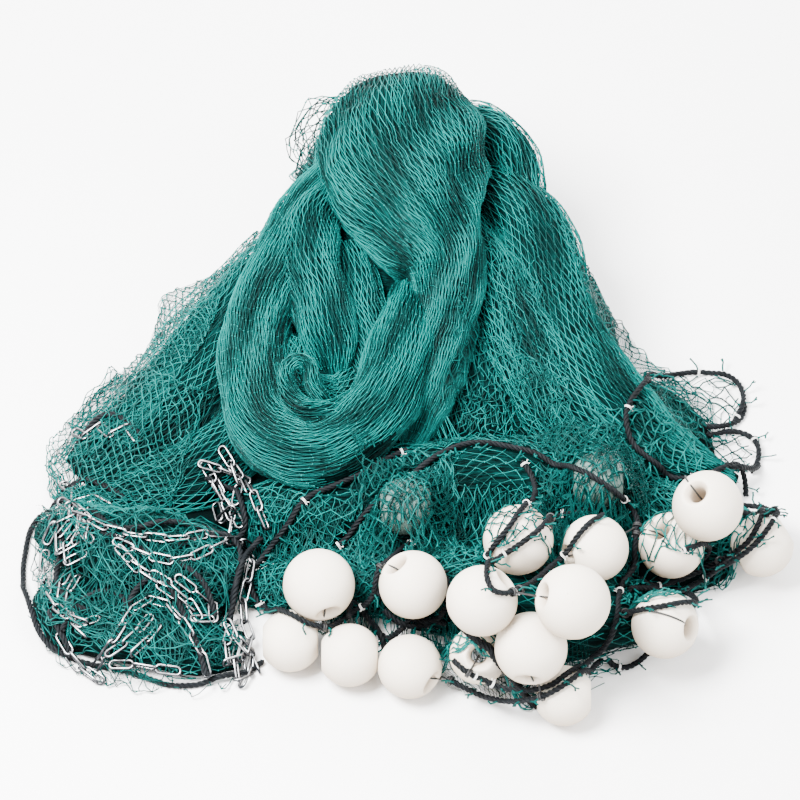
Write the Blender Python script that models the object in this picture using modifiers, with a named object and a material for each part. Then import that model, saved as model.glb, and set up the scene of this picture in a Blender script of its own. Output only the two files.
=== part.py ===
"""A seine fishing net lying gathered in a heap: netting, float line, lead line, floats and chain.

Metres, +Z up. The heap lies on the floor at z = 0, with its front towards -Y.
"""

import math
from collections import namedtuple

import bmesh
import bpy
from mathutils import Vector
from mathutils.bvhtree import BVHTree

# ---------------------------------------------------------------- driving dimensions

HEAP_CENTRE = Vector((-0.0022, 0.1386, 0.0))
ROPE_DIAMETER = 0.007
CHAIN_WIDTH = 0.010
FLOAT_BORE = 0.017
FLOAT_MOUTH = 0.030
FLOAT_MOUTH_DEPTH = 0.009
PIECE_GAP = 0.0004
LINE_GAP = 0.0006
FLAT_BASE = 0.00001
FLOOR_BOX = 2.0
DROP_START = 0.40
DROP_STEP = 0.004
DROP_HALVINGS = 9

# A line's points lie this many widths apart, along a curve worked out in this many steps a span.
LINE_SPACING = 2.8
CURVE_STEPS = 12
LINE_BEVEL = 2
# A line starts this share of its width higher, then is eased, let sink and pushed out of solids.
LINE_LIFT = 0.6
LAY_TURNS = 40
EASE_TURNS = 3
EASE_SHARE = 0.2
SINK_TURNS = 12
SINK_STEP = 0.0005
SPAN_SHARES = (0.25, 0.5, 0.75)
PUSH_SHARE = 1.2

FLOAT_STEPS = 12
WELD_DISTANCE = 0.00001
FLOAT_ARC_POINTS = 6
MOUND_SEGMENTS = 14
MOUND_RINGS = 8

# ---------------------------------------------------------------- the netting's folds

# A row is one cross section of a gathered fold: its centre, half its width and half its height.
Section = namedtuple("Section", "x y z half_width half_height")
# pleats is how many lengthwise pleats the fold shows, pleat_depth their share of the radius,
# around how many points a section has, and between how many sections are added in each span.
Fold = namedtuple("Fold", "name pleats pleat_depth around between sections")
# A mound is the netting packed out of sight below the folds.
Mound = namedtuple("Mound", "x y radius_x radius_y height")

MOUNDS = [
    Mound(-0.005, 0.335, 0.135, 0.138, 0.202),
    Mound(0.000, 0.440, 0.115, 0.095, 0.095),
    Mound(-0.080, 0.170, 0.150, 0.150, 0.125),
    Mound(0.095, 0.235, 0.145, 0.190, 0.120),
    Mound(0.160, 0.110, 0.180, 0.130, 0.060),
    Mound(0.020, 0.020, 0.270, 0.080, 0.050),
    Mound(-0.290, -0.090, 0.110, 0.090, 0.036),
    Mound(-0.225, 0.000, 0.085, 0.045, 0.030),
    Mound(0.110, -0.050, 0.160, 0.055, 0.050),
    Mound(0.275, -0.035, 0.070, 0.055, 0.030),
]

FOLDS = [
    Fold("hank", 5, 0.05, 20, 2, [
        Section(0.005, 0.468, 0.150, 0.045, 0.035),
        Section(0.002, 0.428, 0.196, 0.074, 0.056),
        Section(-0.002, 0.380, 0.210, 0.090, 0.066),
        Section(0.000, 0.325, 0.204, 0.092, 0.064),
        Section(0.018, 0.275, 0.186, 0.068, 0.058),
        Section(0.040, 0.235, 0.164, 0.045, 0.048),
        Section(0.044, 0.195, 0.142, 0.034, 0.042),
        Section(0.034, 0.150, 0.112, 0.031, 0.038),
        Section(0.018, 0.105, 0.082, 0.028, 0.030),
        Section(0.000, 0.065, 0.055, 0.016, 0.018),
    ]),
    Fold("curl", 4, 0.06, 14, 2, [
        Section(0.015, 0.235, 0.125, 0.030, 0.034),
        Section(0.000, 0.165, 0.128, 0.036, 0.042),
        Section(-0.020, 0.095, 0.118, 0.036, 0.042),
        Section(-0.055, 0.050, 0.104, 0.036, 0.042),
        Section(-0.105, 0.030, 0.096, 0.036, 0.042),
        Section(-0.150, 0.060, 0.098, 0.035, 0.042),
        Section(-0.165, 0.115, 0.112, 0.034, 0.042),
        Section(-0.160, 0.175, 0.132, 0.034, 0.042),
        Section(-0.135, 0.245, 0.155, 0.034, 0.040),
        Section(-0.112, 0.306, 0.172, 0.027, 0.031),
        Section(-0.080, 0.350, 0.188, 0.020, 0.024),
    ]),
    Fold("tongue", 3, 0.06, 12, 2, [
        Section(-0.072, 0.330, 0.186, 0.022, 0.026),
        Section(-0.104, 0.286, 0.176, 0.030, 0.032),
        Section(-0.105, 0.235, 0.165, 0.034, 0.034),
        Section(-0.090, 0.185, 0.148, 0.034, 0.032),
        Section(-0.080, 0.155, 0.125, 0.028, 0.026),
        Section(-0.075, 0.135, 0.100, 0.014, 0.012),
    ]),
    Fold("curl_end", 0, 0.0, 8, 2, [
        Section(-0.115, 0.165, 0.120, 0.012, 0.014),
        Section(-0.130, 0.135, 0.110, 0.014, 0.016),
        Section(-0.120, 0.105, 0.100, 0.014, 0.016),
        Section(-0.090, 0.098, 0.094, 0.010, 0.012),
    ]),
    Fold("roll", 4, 0.06, 14, 2, [
        Section(0.028, 0.400, 0.165, 0.024, 0.032),
        Section(0.064, 0.416, 0.177, 0.031, 0.041),
        Section(0.098, 0.408, 0.172, 0.032, 0.044),
        Section(0.120, 0.378, 0.154, 0.028, 0.038),
        Section(0.130, 0.342, 0.130, 0.020, 0.026),
    ]),
    Fold("shoulder", 3, 0.07, 12, 1, [
        Section(0.070, 0.385, 0.125, 0.030, 0.034),
        Section(0.112, 0.345, 0.138, 0.042, 0.046),
        Section(0.140, 0.295, 0.128, 0.044, 0.046),
        Section(0.158, 0.242, 0.110, 0.044, 0.042),
        Section(0.180, 0.185, 0.092, 0.044, 0.040),
        Section(0.212, 0.132, 0.072, 0.044, 0.036),
        Section(0.255, 0.092, 0.052, 0.040, 0.030),
        Section(0.310, 0.062, 0.034, 0.030, 0.022),
        Section(0.355, 0.050, 0.020, 0.014, 0.014),
    ]),
    Fold("inner_fold", 3, 0.07, 12, 1, [
        Section(0.066, 0.325, 0.125, 0.026, 0.030),
        Section(0.090, 0.262, 0.122, 0.038, 0.042),
        Section(0.118, 0.202, 0.104, 0.042, 0.042),
        Section(0.150, 0.142, 0.082, 0.044, 0.040),
        Section(0.195, 0.088, 0.060, 0.044, 0.036),
        Section(0.255, 0.045, 0.040, 0.036, 0.028),
    ]),
    Fold("valley", 3, 0.06, 12, 1, [
        Section(0.055, 0.255, 0.090, 0.030, 0.030),
        Section(0.075, 0.195, 0.084, 0.038, 0.034),
        Section(0.085, 0.140, 0.070, 0.040, 0.032),
        Section(0.080, 0.090, 0.052, 0.034, 0.028),
    ]),
    Fold("left_wing", 4, 0.07, 14, 1, [
        Section(-0.115, 0.335, 0.125, 0.024, 0.030),
        Section(-0.150, 0.275, 0.098, 0.042, 0.040),
        Section(-0.190, 0.215, 0.070, 0.054, 0.042),
        Section(-0.235, 0.152, 0.044, 0.062, 0.038),
        Section(-0.292, 0.098, 0.026, 0.058, 0.030),
        Section(-0.348, 0.060, 0.014, 0.034, 0.018),
    ]),
    Fold("left_fold", 3, 0.07, 12, 1, [
        Section(-0.165, 0.130, 0.062, 0.032, 0.036),
        Section(-0.190, 0.080, 0.044, 0.038, 0.034),
        Section(-0.245, 0.045, 0.030, 0.038, 0.030),
        Section(-0.310, 0.030, 0.018, 0.032, 0.020),
        Section(-0.365, 0.028, 0.009, 0.020, 0.012),
    ]),
    Fold("front_upper", 3, 0.07, 12, 1, [
        Section(-0.185, 0.005, 0.024, 0.024, 0.020),
        Section(-0.130, 0.000, 0.040, 0.044, 0.036),
        Section(-0.060, 0.000, 0.048, 0.050, 0.040),
        Section(0.015, 0.015, 0.054, 0.050, 0.042),
        Section(0.090, 0.030, 0.056, 0.050, 0.042),
        Section(0.165, 0.020, 0.052, 0.048, 0.040),
        Section(0.220, -0.005, 0.044, 0.044, 0.036),
        Section(0.265, -0.035, 0.030, 0.026, 0.024),
    ]),
    Fold("front_lower", 3, 0.07, 12, 1, [
        Section(-0.170, -0.085, 0.008, 0.020, 0.012),
        Section(-0.115, -0.080, 0.020, 0.036, 0.026),
        Section(-0.030, -0.085, 0.030, 0.046, 0.036),
        Section(0.050, -0.108, 0.038, 0.046, 0.044),
        Section(0.120, -0.135, 0.044, 0.054, 0.050),
        Section(0.185, -0.140, 0.040, 0.052, 0.046),
        Section(0.240, -0.125, 0.022, 0.038, 0.030),
        Section(0.275, -0.120, 0.008, 0.018, 0.012),
    ]),
    Fold("float_bed", 0, 0.0, 10, 1, [
        Section(0.000, -0.140, 0.001, 0.030, 0.005),
        Section(0.060, -0.166, 0.001, 0.040, 0.005),
        Section(0.130, -0.182, 0.001, 0.044, 0.006),
        Section(0.190, -0.180, 0.001, 0.030, 0.006),
        Section(0.222, -0.168, 0.001, 0.014, 0.005),
    ]),
    Fold("lead_back", 3, 0.08, 12, 1, [
        Section(-0.392, 0.000, 0.006, 0.016, 0.012),
        Section(-0.352, -0.022, 0.018, 0.038, 0.028),
        Section(-0.295, -0.050, 0.026, 0.052, 0.034),
        Section(-0.225, -0.072, 0.026, 0.050, 0.034),
        Section(-0.175, -0.080, 0.018, 0.036, 0.026),
    ]),
    Fold("lead_front", 3, 0.08, 12, 1, [
        Section(-0.396, -0.080, 0.004, 0.024, 0.010),
        Section(-0.352, -0.118, 0.012, 0.044, 0.022),
        Section(-0.295, -0.142, 0.016, 0.046, 0.026),
        Section(-0.228, -0.158, 0.012, 0.040, 0.022),
        Section(-0.172, -0.160, 0.005, 0.026, 0.012),
    ]),
    Fold("right_end", 3, 0.07, 12, 1, [
        Section(0.255, 0.015, 0.024, 0.034, 0.030),
        Section(0.310, -0.010, 0.022, 0.042, 0.030),
        Section(0.355, -0.015, 0.014, 0.034, 0.022),
        Section(0.385, -0.020, 0.006, 0.018, 0.012),
    ]),
    Fold("right_low", 0, 0.0, 10, 1, [
        Section(0.255, -0.055, 0.006, 0.030, 0.014),
        Section(0.305, -0.060, 0.006, 0.026, 0.014),
        Section(0.345, -0.048, 0.003, 0.014, 0.008),
    ]),
    Fold("back_drape", 6, 0.04, 24, 1, [
        Section(0.005, 0.420, 0.150, 0.085, 0.044),
        Section(0.004, 0.458, 0.110, 0.108, 0.042),
        Section(0.002, 0.490, 0.064, 0.120, 0.038),
        Section(0.000, 0.512, 0.020, 0.126, 0.032),
        Section(0.000, 0.522, -0.020, 0.128, 0.028),
    ]),
    Fold("left_veil", 4, 0.06, 14, 1, [
        Section(-0.125, 0.335, 0.070, 0.040, 0.065),
        Section(-0.172, 0.285, 0.035, 0.054, 0.066),
        Section(-0.222, 0.225, 0.015, 0.058, 0.056),
        Section(-0.276, 0.160, 0.005, 0.048, 0.040),
        Section(-0.322, 0.110, 0.002, 0.044, 0.026),
        Section(-0.362, 0.072, 0.001, 0.028, 0.012),
    ]),
    Fold("loop_net_large", 0, 0.0, 8, 1, [
        Section(0.240, 0.140, 0.001, 0.050, 0.003),
        Section(0.285, 0.160, 0.001, 0.058, 0.003),
        Section(0.325, 0.178, 0.001, 0.046, 0.003),
        Section(0.364, 0.190, 0.001, 0.024, 0.003),
    ]),
    Fold("loop_net_small", 0, 0.0, 8, 1, [
        Section(0.330, 0.105, 0.001, 0.024, 0.003),
        Section(0.358, 0.114, 0.001, 0.028, 0.003),
        Section(0.380, 0.116, 0.001, 0.016, 0.003),
    ]),
    Fold("ear", 0, 0.0, 10, 1, [
        Section(-0.062, 0.440, 0.195, 0.016, 0.010),
        Section(-0.088, 0.422, 0.188, 0.032, 0.012),
        Section(-0.096, 0.385, 0.178, 0.028, 0.010),
        Section(-0.085, 0.365, 0.165, 0.012, 0.008),
    ]),
]

# ---------------------------------------------------------------- the floats

# A row is one ball float: where it lies, its diameter, and the way its bore points.
Ball = namedtuple("Ball", "x y diameter bore_turn bore_tilt")

BALLS = [
    Ball(-0.121, -0.169, 0.065, 0, 90),
    Ball(-0.059, -0.188, 0.066, 0, 90),
    Ball(0.0036, -0.2030, 0.067, -40, 94),
    Ball(0.075, -0.2045, 0.061, -90, 40),
    Ball(0.163, -0.239, 0.063, 0, 90),
    Ball(0.2685, -0.1734, 0.070, -28, 67),
    Ball(0.3761, -0.0564, 0.067, 25, 70),
    Ball(0.279, -0.071, 0.070, 183, 27),
    Ball(-0.091, -0.134, 0.075, -72, 102),
    Ball(0.1278, -0.2235, 0.075, -96, 108),
    Ball(0.007, -0.144, 0.071, 158, 37),
    Ball(0.0772, -0.1965, 0.073, 24, 53),
    Ball(0.1695, -0.209, 0.077, 187, 64),
    Ball(0.116, -0.109, 0.073, 30, 52),
    Ball(0.1962, -0.1067, 0.070, 207, 84),
    Ball(0.314, -0.067, 0.074, 203, 27),
    Ball(-0.001, -0.046, 0.061, 0, 90),
    Ball(0.202, -0.015, 0.060, 0, 90),
]

# ---------------------------------------------------------------- the ropes and the chain

# A route is a line laid on the heap: its width and the points that it passes, as (x, y, z).
Route = namedtuple("Route", "name width points")

ROUTES = [
    Route("float_line_1", ROPE_DIAMETER, [
        (-0.152, -0.110, 0.015), (-0.161, -0.098, 0.021), (-0.162, -0.081, 0.026),
        (-0.155, -0.058, 0.028), (-0.142, -0.045, 0.040), (-0.126, -0.035, 0.060),
        (-0.110, -0.025, 0.078), (-0.093, -0.009, 0.083), (-0.074, 0.000, 0.089),
        (-0.054, 0.013, 0.090), (-0.033, 0.023, 0.089), (-0.014, 0.029, 0.090), (0.002, 0.037, 0.092),
    ]),
    Route("float_line_2", ROPE_DIAMETER, [
        (-0.072, -0.063, 0.051), (-0.065, -0.047, 0.057), (-0.052, -0.040, 0.073),
        (-0.037, -0.028, 0.083), (-0.021, -0.019, 0.092), (-0.007, -0.010, 0.098),
        (0.008, 0.006, 0.094), (0.023, 0.018, 0.096), (0.038, 0.028, 0.098), (0.055, 0.037, 0.097),
        (0.074, 0.044, 0.096), (0.094, 0.040, 0.097), (0.116, 0.034, 0.096), (0.137, 0.028, 0.095),
        (0.156, 0.017, 0.098), (0.174, -0.008, 0.124), (0.194, -0.033, 0.140), (0.214, -0.041, 0.128),
        (0.232, -0.026, 0.088), (0.243, -0.034, 0.078), (0.250, -0.057, 0.078), (0.251, -0.076, 0.074),
        (0.244, -0.089, 0.064), (0.232, -0.107, 0.062), (0.220, -0.125, 0.066), (0.216, -0.149, 0.070),
        (0.213, -0.170, 0.066), (0.205, -0.182, 0.052), (0.195, -0.191, 0.036), (0.180, -0.219, 0.052),
        (0.160, -0.244, 0.069), (0.140, -0.249, 0.062), (0.119, -0.245, 0.050), (0.098, -0.246, 0.052),
        (0.081, -0.240, 0.060), (0.065, -0.233, 0.068), (0.052, -0.218, 0.068),
    ]),
    Route("float_line_3", ROPE_DIAMETER, [
        (0.203, -0.173, 0.012), (0.192, -0.202, 0.030), (0.176, -0.238, 0.058), (0.158, -0.255, 0.067),
        (0.137, -0.257, 0.055), (0.115, -0.252, 0.040), (0.094, -0.242, 0.028), (0.074, -0.228, 0.020),
        (0.058, -0.215, 0.016), (0.043, -0.207, 0.020),
    ]),
    Route("float_line_4", ROPE_DIAMETER, [
        (-0.152, -0.114, 0.020), (-0.137, -0.147, 0.050), (-0.119, -0.166, 0.066),
        (-0.098, -0.165, 0.062), (-0.077, -0.161, 0.060), (-0.059, -0.143, 0.048),
        (-0.043, -0.138, 0.052), (-0.033, -0.136, 0.070), (-0.026, -0.139, 0.098),
        (-0.019, -0.126, 0.106), (-0.010, -0.096, 0.090), (0.003, -0.069, 0.074),
        (0.017, -0.054, 0.074),
    ]),
    Route("float_line_5", ROPE_DIAMETER, [
        (-0.066, -0.154, 0.066), (-0.055, -0.141, 0.054), (-0.042, -0.137, 0.036),
        (-0.029, -0.141, 0.016), (-0.021, -0.150, 0.006), (-0.024, -0.169, 0.004),
    ]),
    Route("float_line_6", ROPE_DIAMETER, [
        (-0.023, -0.138, 0.046), (-0.011, -0.149, 0.040), (0.006, -0.155, 0.036),
        (0.023, -0.153, 0.040), (0.036, -0.147, 0.050), (0.041, -0.160, 0.052),
    ]),
    Route("float_line_7", ROPE_DIAMETER, [
        (0.123, 0.019, 0.096), (0.132, 0.008, 0.093), (0.137, -0.014, 0.100), (0.133, -0.054, 0.128),
        (0.125, -0.088, 0.150), (0.115, -0.111, 0.163), (0.104, -0.124, 0.160), (0.093, -0.130, 0.148),
        (0.085, -0.131, 0.130),
    ]),
    Route("float_line_8", ROPE_DIAMETER, [
        (0.149, -0.068, 0.110), (0.139, -0.109, 0.146), (0.127, -0.128, 0.157), (0.115, -0.135, 0.155),
        (0.103, -0.138, 0.145), (0.091, -0.147, 0.142), (0.081, -0.173, 0.162), (0.079, -0.200, 0.178),
        (0.084, -0.216, 0.181), (0.096, -0.216, 0.172), (0.111, -0.199, 0.158), (0.125, -0.179, 0.142),
        (0.138, -0.158, 0.130), (0.150, -0.135, 0.118), (0.162, -0.123, 0.118), (0.172, -0.123, 0.134),
        (0.182, -0.115, 0.144), (0.194, -0.103, 0.147), (0.204, -0.089, 0.140),
    ]),
    Route("float_line_9", ROPE_DIAMETER, [
        (0.158, -0.031, 0.070), (0.175, -0.028, 0.071), (0.194, -0.024, 0.072), (0.211, -0.023, 0.074),
        (0.226, -0.020, 0.074),
    ]),
    Route("float_line_10", ROPE_DIAMETER, [
        (0.359, 0.153, 0.004), (0.368, 0.168, 0.004), (0.373, 0.185, 0.004), (0.369, 0.203, 0.004),
        (0.361, 0.216, 0.004), (0.347, 0.224, 0.004), (0.330, 0.224, 0.004), (0.310, 0.221, 0.004),
        (0.281, 0.216, 0.008), (0.260, 0.189, 0.030), (0.244, 0.150, 0.062), (0.235, 0.110, 0.086),
        (0.234, 0.079, 0.094), (0.238, 0.063, 0.086), (0.246, 0.050, 0.076), (0.257, 0.042, 0.066),
        (0.272, 0.040, 0.052), (0.288, 0.038, 0.046), (0.304, 0.041, 0.044), (0.322, 0.048, 0.042),
        (0.340, 0.057, 0.034), (0.355, 0.064, 0.020), (0.364, 0.061, 0.008), (0.367, 0.048, 0.004),
    ]),
    Route("float_line_11", ROPE_DIAMETER, [
        (0.320, 0.122, 0.016), (0.336, 0.133, 0.006), (0.352, 0.138, 0.004), (0.366, 0.136, 0.004),
        (0.379, 0.129, 0.004), (0.385, 0.111, 0.004), (0.383, 0.094, 0.004), (0.374, 0.080, 0.008),
    ]),
    Route("float_line_12", ROPE_DIAMETER, [
        (0.356, 0.019, 0.020), (0.370, 0.029, 0.014), (0.383, 0.023, 0.020), (0.390, -0.001, 0.040),
        (0.390, -0.028, 0.060), (0.382, -0.057, 0.078), (0.371, -0.075, 0.084), (0.357, -0.087, 0.080),
        (0.343, -0.089, 0.066), (0.329, -0.077, 0.040), (0.317, -0.078, 0.024), (0.303, -0.087, 0.020),
        (0.287, -0.094, 0.020), (0.268, -0.102, 0.028), (0.245, -0.116, 0.044), (0.226, -0.127, 0.060),
    ]),
    Route("float_line_13", ROPE_DIAMETER, [
        (0.352, -0.003, 0.034), (0.365, -0.001, 0.040), (0.376, -0.018, 0.056), (0.377, -0.045, 0.076),
        (0.369, -0.067, 0.085), (0.356, -0.079, 0.082), (0.343, -0.079, 0.066), (0.330, -0.069, 0.040),
        (0.314, -0.067, 0.024), (0.297, -0.074, 0.020), (0.279, -0.082, 0.020), (0.262, -0.091, 0.024),
        (0.241, -0.105, 0.044),
    ]),
    Route("float_line_14", ROPE_DIAMETER, [
        (0.289, -0.097, 0.096), (0.300, -0.089, 0.096), (0.312, -0.078, 0.086), (0.320, -0.068, 0.062),
        (0.317, -0.066, 0.046), (0.305, -0.072, 0.042), (0.292, -0.075, 0.034), (0.279, -0.078, 0.024),
        (0.270, -0.086, 0.020),
    ]),
    Route("float_line_15", ROPE_DIAMETER, [
        (0.297, -0.098, 0.024), (0.305, -0.123, 0.046), (0.296, -0.161, 0.082), (0.278, -0.176, 0.098),
        (0.259, -0.180, 0.100), (0.241, -0.175, 0.090), (0.224, -0.160, 0.070),
    ]),
    Route("float_line_16", ROPE_DIAMETER, [
        (0.205, -0.179, 0.012), (0.215, -0.186, 0.008), (0.230, -0.186, 0.006), (0.243, -0.177, 0.006),
        (0.254, -0.165, 0.008),
    ]),
    Route("lead_line_1", ROPE_DIAMETER, [
        (-0.383, 0.024, 0.006), (-0.378, 0.037, 0.008), (-0.367, 0.031, 0.018), (-0.354, 0.022, 0.024),
        (-0.343, 0.010, 0.028), (-0.331, -0.014, 0.042), (-0.319, -0.035, 0.053),
        (-0.306, -0.046, 0.057), (-0.292, -0.043, 0.057), (-0.277, -0.039, 0.056),
        (-0.259, -0.035, 0.057), (-0.240, -0.033, 0.053), (-0.223, -0.036, 0.051),
        (-0.208, -0.042, 0.049), (-0.195, -0.044, 0.042),
    ]),
    Route("lead_line_2", ROPE_DIAMETER, [
        (-0.382, 0.008, 0.014), (-0.390, 0.019, 0.006), (-0.400, 0.015, 0.004), (-0.406, 0.001, 0.004),
        (-0.406, -0.019, 0.004), (-0.408, -0.041, 0.004), (-0.409, -0.064, 0.004),
        (-0.404, -0.083, 0.006), (-0.395, -0.099, 0.012), (-0.389, -0.118, 0.014),
        (-0.382, -0.135, 0.013), (-0.373, -0.150, 0.010), (-0.361, -0.159, 0.007),
        (-0.349, -0.165, 0.006), (-0.336, -0.174, 0.004), (-0.320, -0.178, 0.004),
        (-0.304, -0.180, 0.004), (-0.289, -0.186, 0.004), (-0.275, -0.195, 0.004),
        (-0.260, -0.200, 0.004), (-0.247, -0.208, 0.004), (-0.230, -0.208, 0.004),
        (-0.216, -0.199, 0.005), (-0.203, -0.191, 0.008), (-0.190, -0.186, 0.008),
        (-0.177, -0.192, 0.005), (-0.164, -0.186, 0.004), (-0.150, -0.174, 0.004),
    ]),
    Route("lead_line_3", ROPE_DIAMETER, [
        (-0.215, 0.032, 0.056), (-0.201, 0.028, 0.048), (-0.187, 0.028, 0.044), (-0.174, 0.019, 0.044),
        (-0.164, 0.000, 0.050), (-0.161, -0.015, 0.050), (-0.165, -0.023, 0.042),
        (-0.174, -0.031, 0.036), (-0.185, -0.045, 0.042),
    ]),
    Route("lead_line_4", ROPE_DIAMETER, [
        (-0.153, -0.036, 0.042), (-0.164, -0.047, 0.036), (-0.173, -0.068, 0.042),
        (-0.178, -0.089, 0.045), (-0.183, -0.104, 0.038), (-0.188, -0.116, 0.028),
        (-0.186, -0.123, 0.012),
    ]),
    Route("lead_line_5", ROPE_DIAMETER, [
        (-0.372, -0.128, 0.029), (-0.365, -0.143, 0.028), (-0.354, -0.156, 0.027),
        (-0.346, -0.162, 0.022), (-0.348, -0.167, 0.010),
    ]),
    Route("lead_chain_1", CHAIN_WIDTH, [
        (-0.377, -0.037, 0.027), (-0.372, -0.028, 0.037), (-0.362, -0.013, 0.042),
        (-0.350, -0.011, 0.044), (-0.336, -0.028, 0.051), (-0.321, -0.042, 0.055),
        (-0.305, -0.046, 0.057), (-0.290, -0.050, 0.058), (-0.275, -0.059, 0.058),
        (-0.260, -0.061, 0.059), (-0.243, -0.061, 0.059), (-0.226, -0.059, 0.058),
        (-0.210, -0.052, 0.054), (-0.195, -0.044, 0.042),
    ]),
    Route("lead_chain_2", CHAIN_WIDTH, [
        (-0.307, -0.058, 0.057), (-0.293, -0.070, 0.057), (-0.279, -0.080, 0.057),
        (-0.264, -0.086, 0.056), (-0.249, -0.089, 0.055), (-0.232, -0.086, 0.055),
        (-0.216, -0.078, 0.055), (-0.201, -0.065, 0.052), (-0.185, -0.050, 0.042),
        (-0.169, -0.044, 0.030), (-0.155, -0.048, 0.028),
    ]),
    Route("lead_chain_3", CHAIN_WIDTH, [
        (-0.324, -0.178, 0.004), (-0.311, -0.180, 0.024), (-0.300, -0.171, 0.037),
        (-0.293, -0.151, 0.040), (-0.288, -0.134, 0.038), (-0.275, -0.116, 0.034),
        (-0.261, -0.116, 0.034), (-0.249, -0.122, 0.033), (-0.240, -0.142, 0.035),
        (-0.230, -0.160, 0.034), (-0.219, -0.172, 0.028), (-0.209, -0.184, 0.020),
        (-0.210, -0.195, 0.008),
    ]),
    Route("lead_chain_4", CHAIN_WIDTH, [
        (-0.242, -0.099, 0.049), (-0.227, -0.109, 0.044), (-0.213, -0.117, 0.035),
        (-0.200, -0.120, 0.028), (-0.189, -0.115, 0.022), (-0.190, -0.128, 0.020),
        (-0.202, -0.145, 0.025), (-0.216, -0.153, 0.030), (-0.231, -0.148, 0.034),
    ]),
    Route("lead_chain_5", CHAIN_WIDTH, [
        (-0.163, -0.055, 0.030), (-0.169, -0.073, 0.038), (-0.173, -0.092, 0.042),
        (-0.176, -0.105, 0.036), (-0.177, -0.112, 0.022), (-0.175, -0.128, 0.014),
        (-0.172, -0.147, 0.012), (-0.168, -0.167, 0.010), (-0.172, -0.186, 0.008),
        (-0.179, -0.175, 0.016), (-0.186, -0.159, 0.021), (-0.191, -0.142, 0.021),
    ]),
    Route("lead_chain_6", CHAIN_WIDTH, [
        (-0.379, -0.040, 0.020), (-0.384, -0.053, 0.012), (-0.385, -0.073, 0.016),
        (-0.379, -0.098, 0.024), (-0.377, -0.119, 0.027), (-0.365, -0.136, 0.031),
        (-0.350, -0.148, 0.034), (-0.333, -0.154, 0.038),
    ]),
    Route("lead_chain_7", CHAIN_WIDTH, [
        (-0.220, 0.044, 0.062), (-0.207, 0.039, 0.058), (-0.191, 0.041, 0.056), (-0.177, 0.039, 0.050),
        (-0.163, 0.020, 0.056), (-0.154, -0.006, 0.064), (-0.149, -0.025, 0.064),
        (-0.147, -0.037, 0.056),
    ]),
    Route("lead_chain_8", CHAIN_WIDTH, [
        (-0.307, -0.183, 0.018), (-0.292, -0.186, 0.025), (-0.278, -0.190, 0.026),
        (-0.264, -0.193, 0.023), (-0.251, -0.195, 0.020), (-0.236, -0.195, 0.018),
    ]),
    Route("lead_chain_9", CHAIN_WIDTH, [
        (-0.208, 0.016, 0.023), (-0.199, 0.000, 0.024), (-0.195, -0.019, 0.026),
        (-0.184, -0.020, 0.034), (-0.174, -0.016, 0.044), (-0.174, -0.003, 0.050),
    ]),
]


# ---------------------------------------------------------------- small helpers


def place(x, y, z):
    """Move a point from the heap's own layout to the part's frame."""
    return Vector((x, y, z)) - HEAP_CENTRE


def make_material(name, colour, roughness, metallic=0.0):
    """Return a Principled material."""
    material = bpy.data.materials.new(name)
    material.use_nodes = True
    shader = material.node_tree.nodes["Principled BSDF"]
    shader.inputs["Base Color"].default_value = (*colour, 1.0)
    shader.inputs["Roughness"].default_value = roughness
    shader.inputs["Metallic"].default_value = metallic
    return material


def make_object(name, mesh, collection, material=None):
    """Put a mesh or a curve into a collection as a new object."""
    obj = bpy.data.objects.new(name, mesh)
    collection.objects.link(obj)
    if material is not None:
        mesh.materials.append(material)
    return obj


def spline_value(before, start, end, after, t):
    """Catmull-Rom value between start and end, for numbers or vectors."""
    linear = (end - before) * t
    square = (2.0 * before - 5.0 * start + 4.0 * end - after) * t * t
    cube = (3.0 * start - before - 3.0 * end + after) * t * t * t
    return start + 0.5 * (linear + square + cube)


def smooth_rows(rows, between):
    """Add rows between the given ones along a smooth curve through them."""
    smooth = []
    last = len(rows) - 1
    for index in range(last):
        around = [rows[max(0, index - 1)], rows[index], rows[index + 1], rows[min(last, index + 2)]]
        for step in range(between):
            t = step / between
            smooth.append([spline_value(*values, t) for values in zip(*around)])
    smooth.append(list(rows[last]))
    return smooth


# ---------------------------------------------------------------- netting


def section_frame(centres, index):
    """Return the sideways and upward directions of a fold's section."""
    before = centres[max(0, index - 1)]
    after = centres[min(len(centres) - 1, index + 1)]
    along = (after - before).normalized()
    side = along.cross(Vector((0.0, 0.0, 1.0))).normalized()
    return side, side.cross(along).normalized()


def fold_mesh(fold):
    """Loft a fold through its sections, with pleats that run its whole length."""
    rows = smooth_rows(fold.sections, fold.between + 1)
    centres = [place(*row[:3]) for row in rows]
    bm = bmesh.new()
    rings = []
    for index, row in enumerate(rows):
        side, up = section_frame(centres, index)
        ring = []
        for step in range(fold.around):
            angle = math.tau * step / fold.around
            swell = 1.0 + fold.pleat_depth * math.cos(fold.pleats * angle + index)
            across = side * (row[3] * swell * math.cos(angle))
            rise = up * (row[4] * swell * math.sin(angle))
            ring.append(bm.verts.new(centres[index] + across + rise))
        rings.append(ring)
    for ring, following in zip(rings, rings[1:]):
        for step in range(fold.around):
            beside = (step + 1) % fold.around
            bm.faces.new((ring[step], ring[beside], following[beside], following[step]))
    bm.faces.new(reversed(rings[0]))
    bm.faces.new(rings[-1])
    bmesh.ops.triangulate(bm, faces=bm.faces)
    bmesh.ops.recalc_face_normals(bm, faces=bm.faces)
    mesh = bpy.data.meshes.new(fold.name)
    bm.to_mesh(mesh)
    bm.free()
    return mesh


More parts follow.
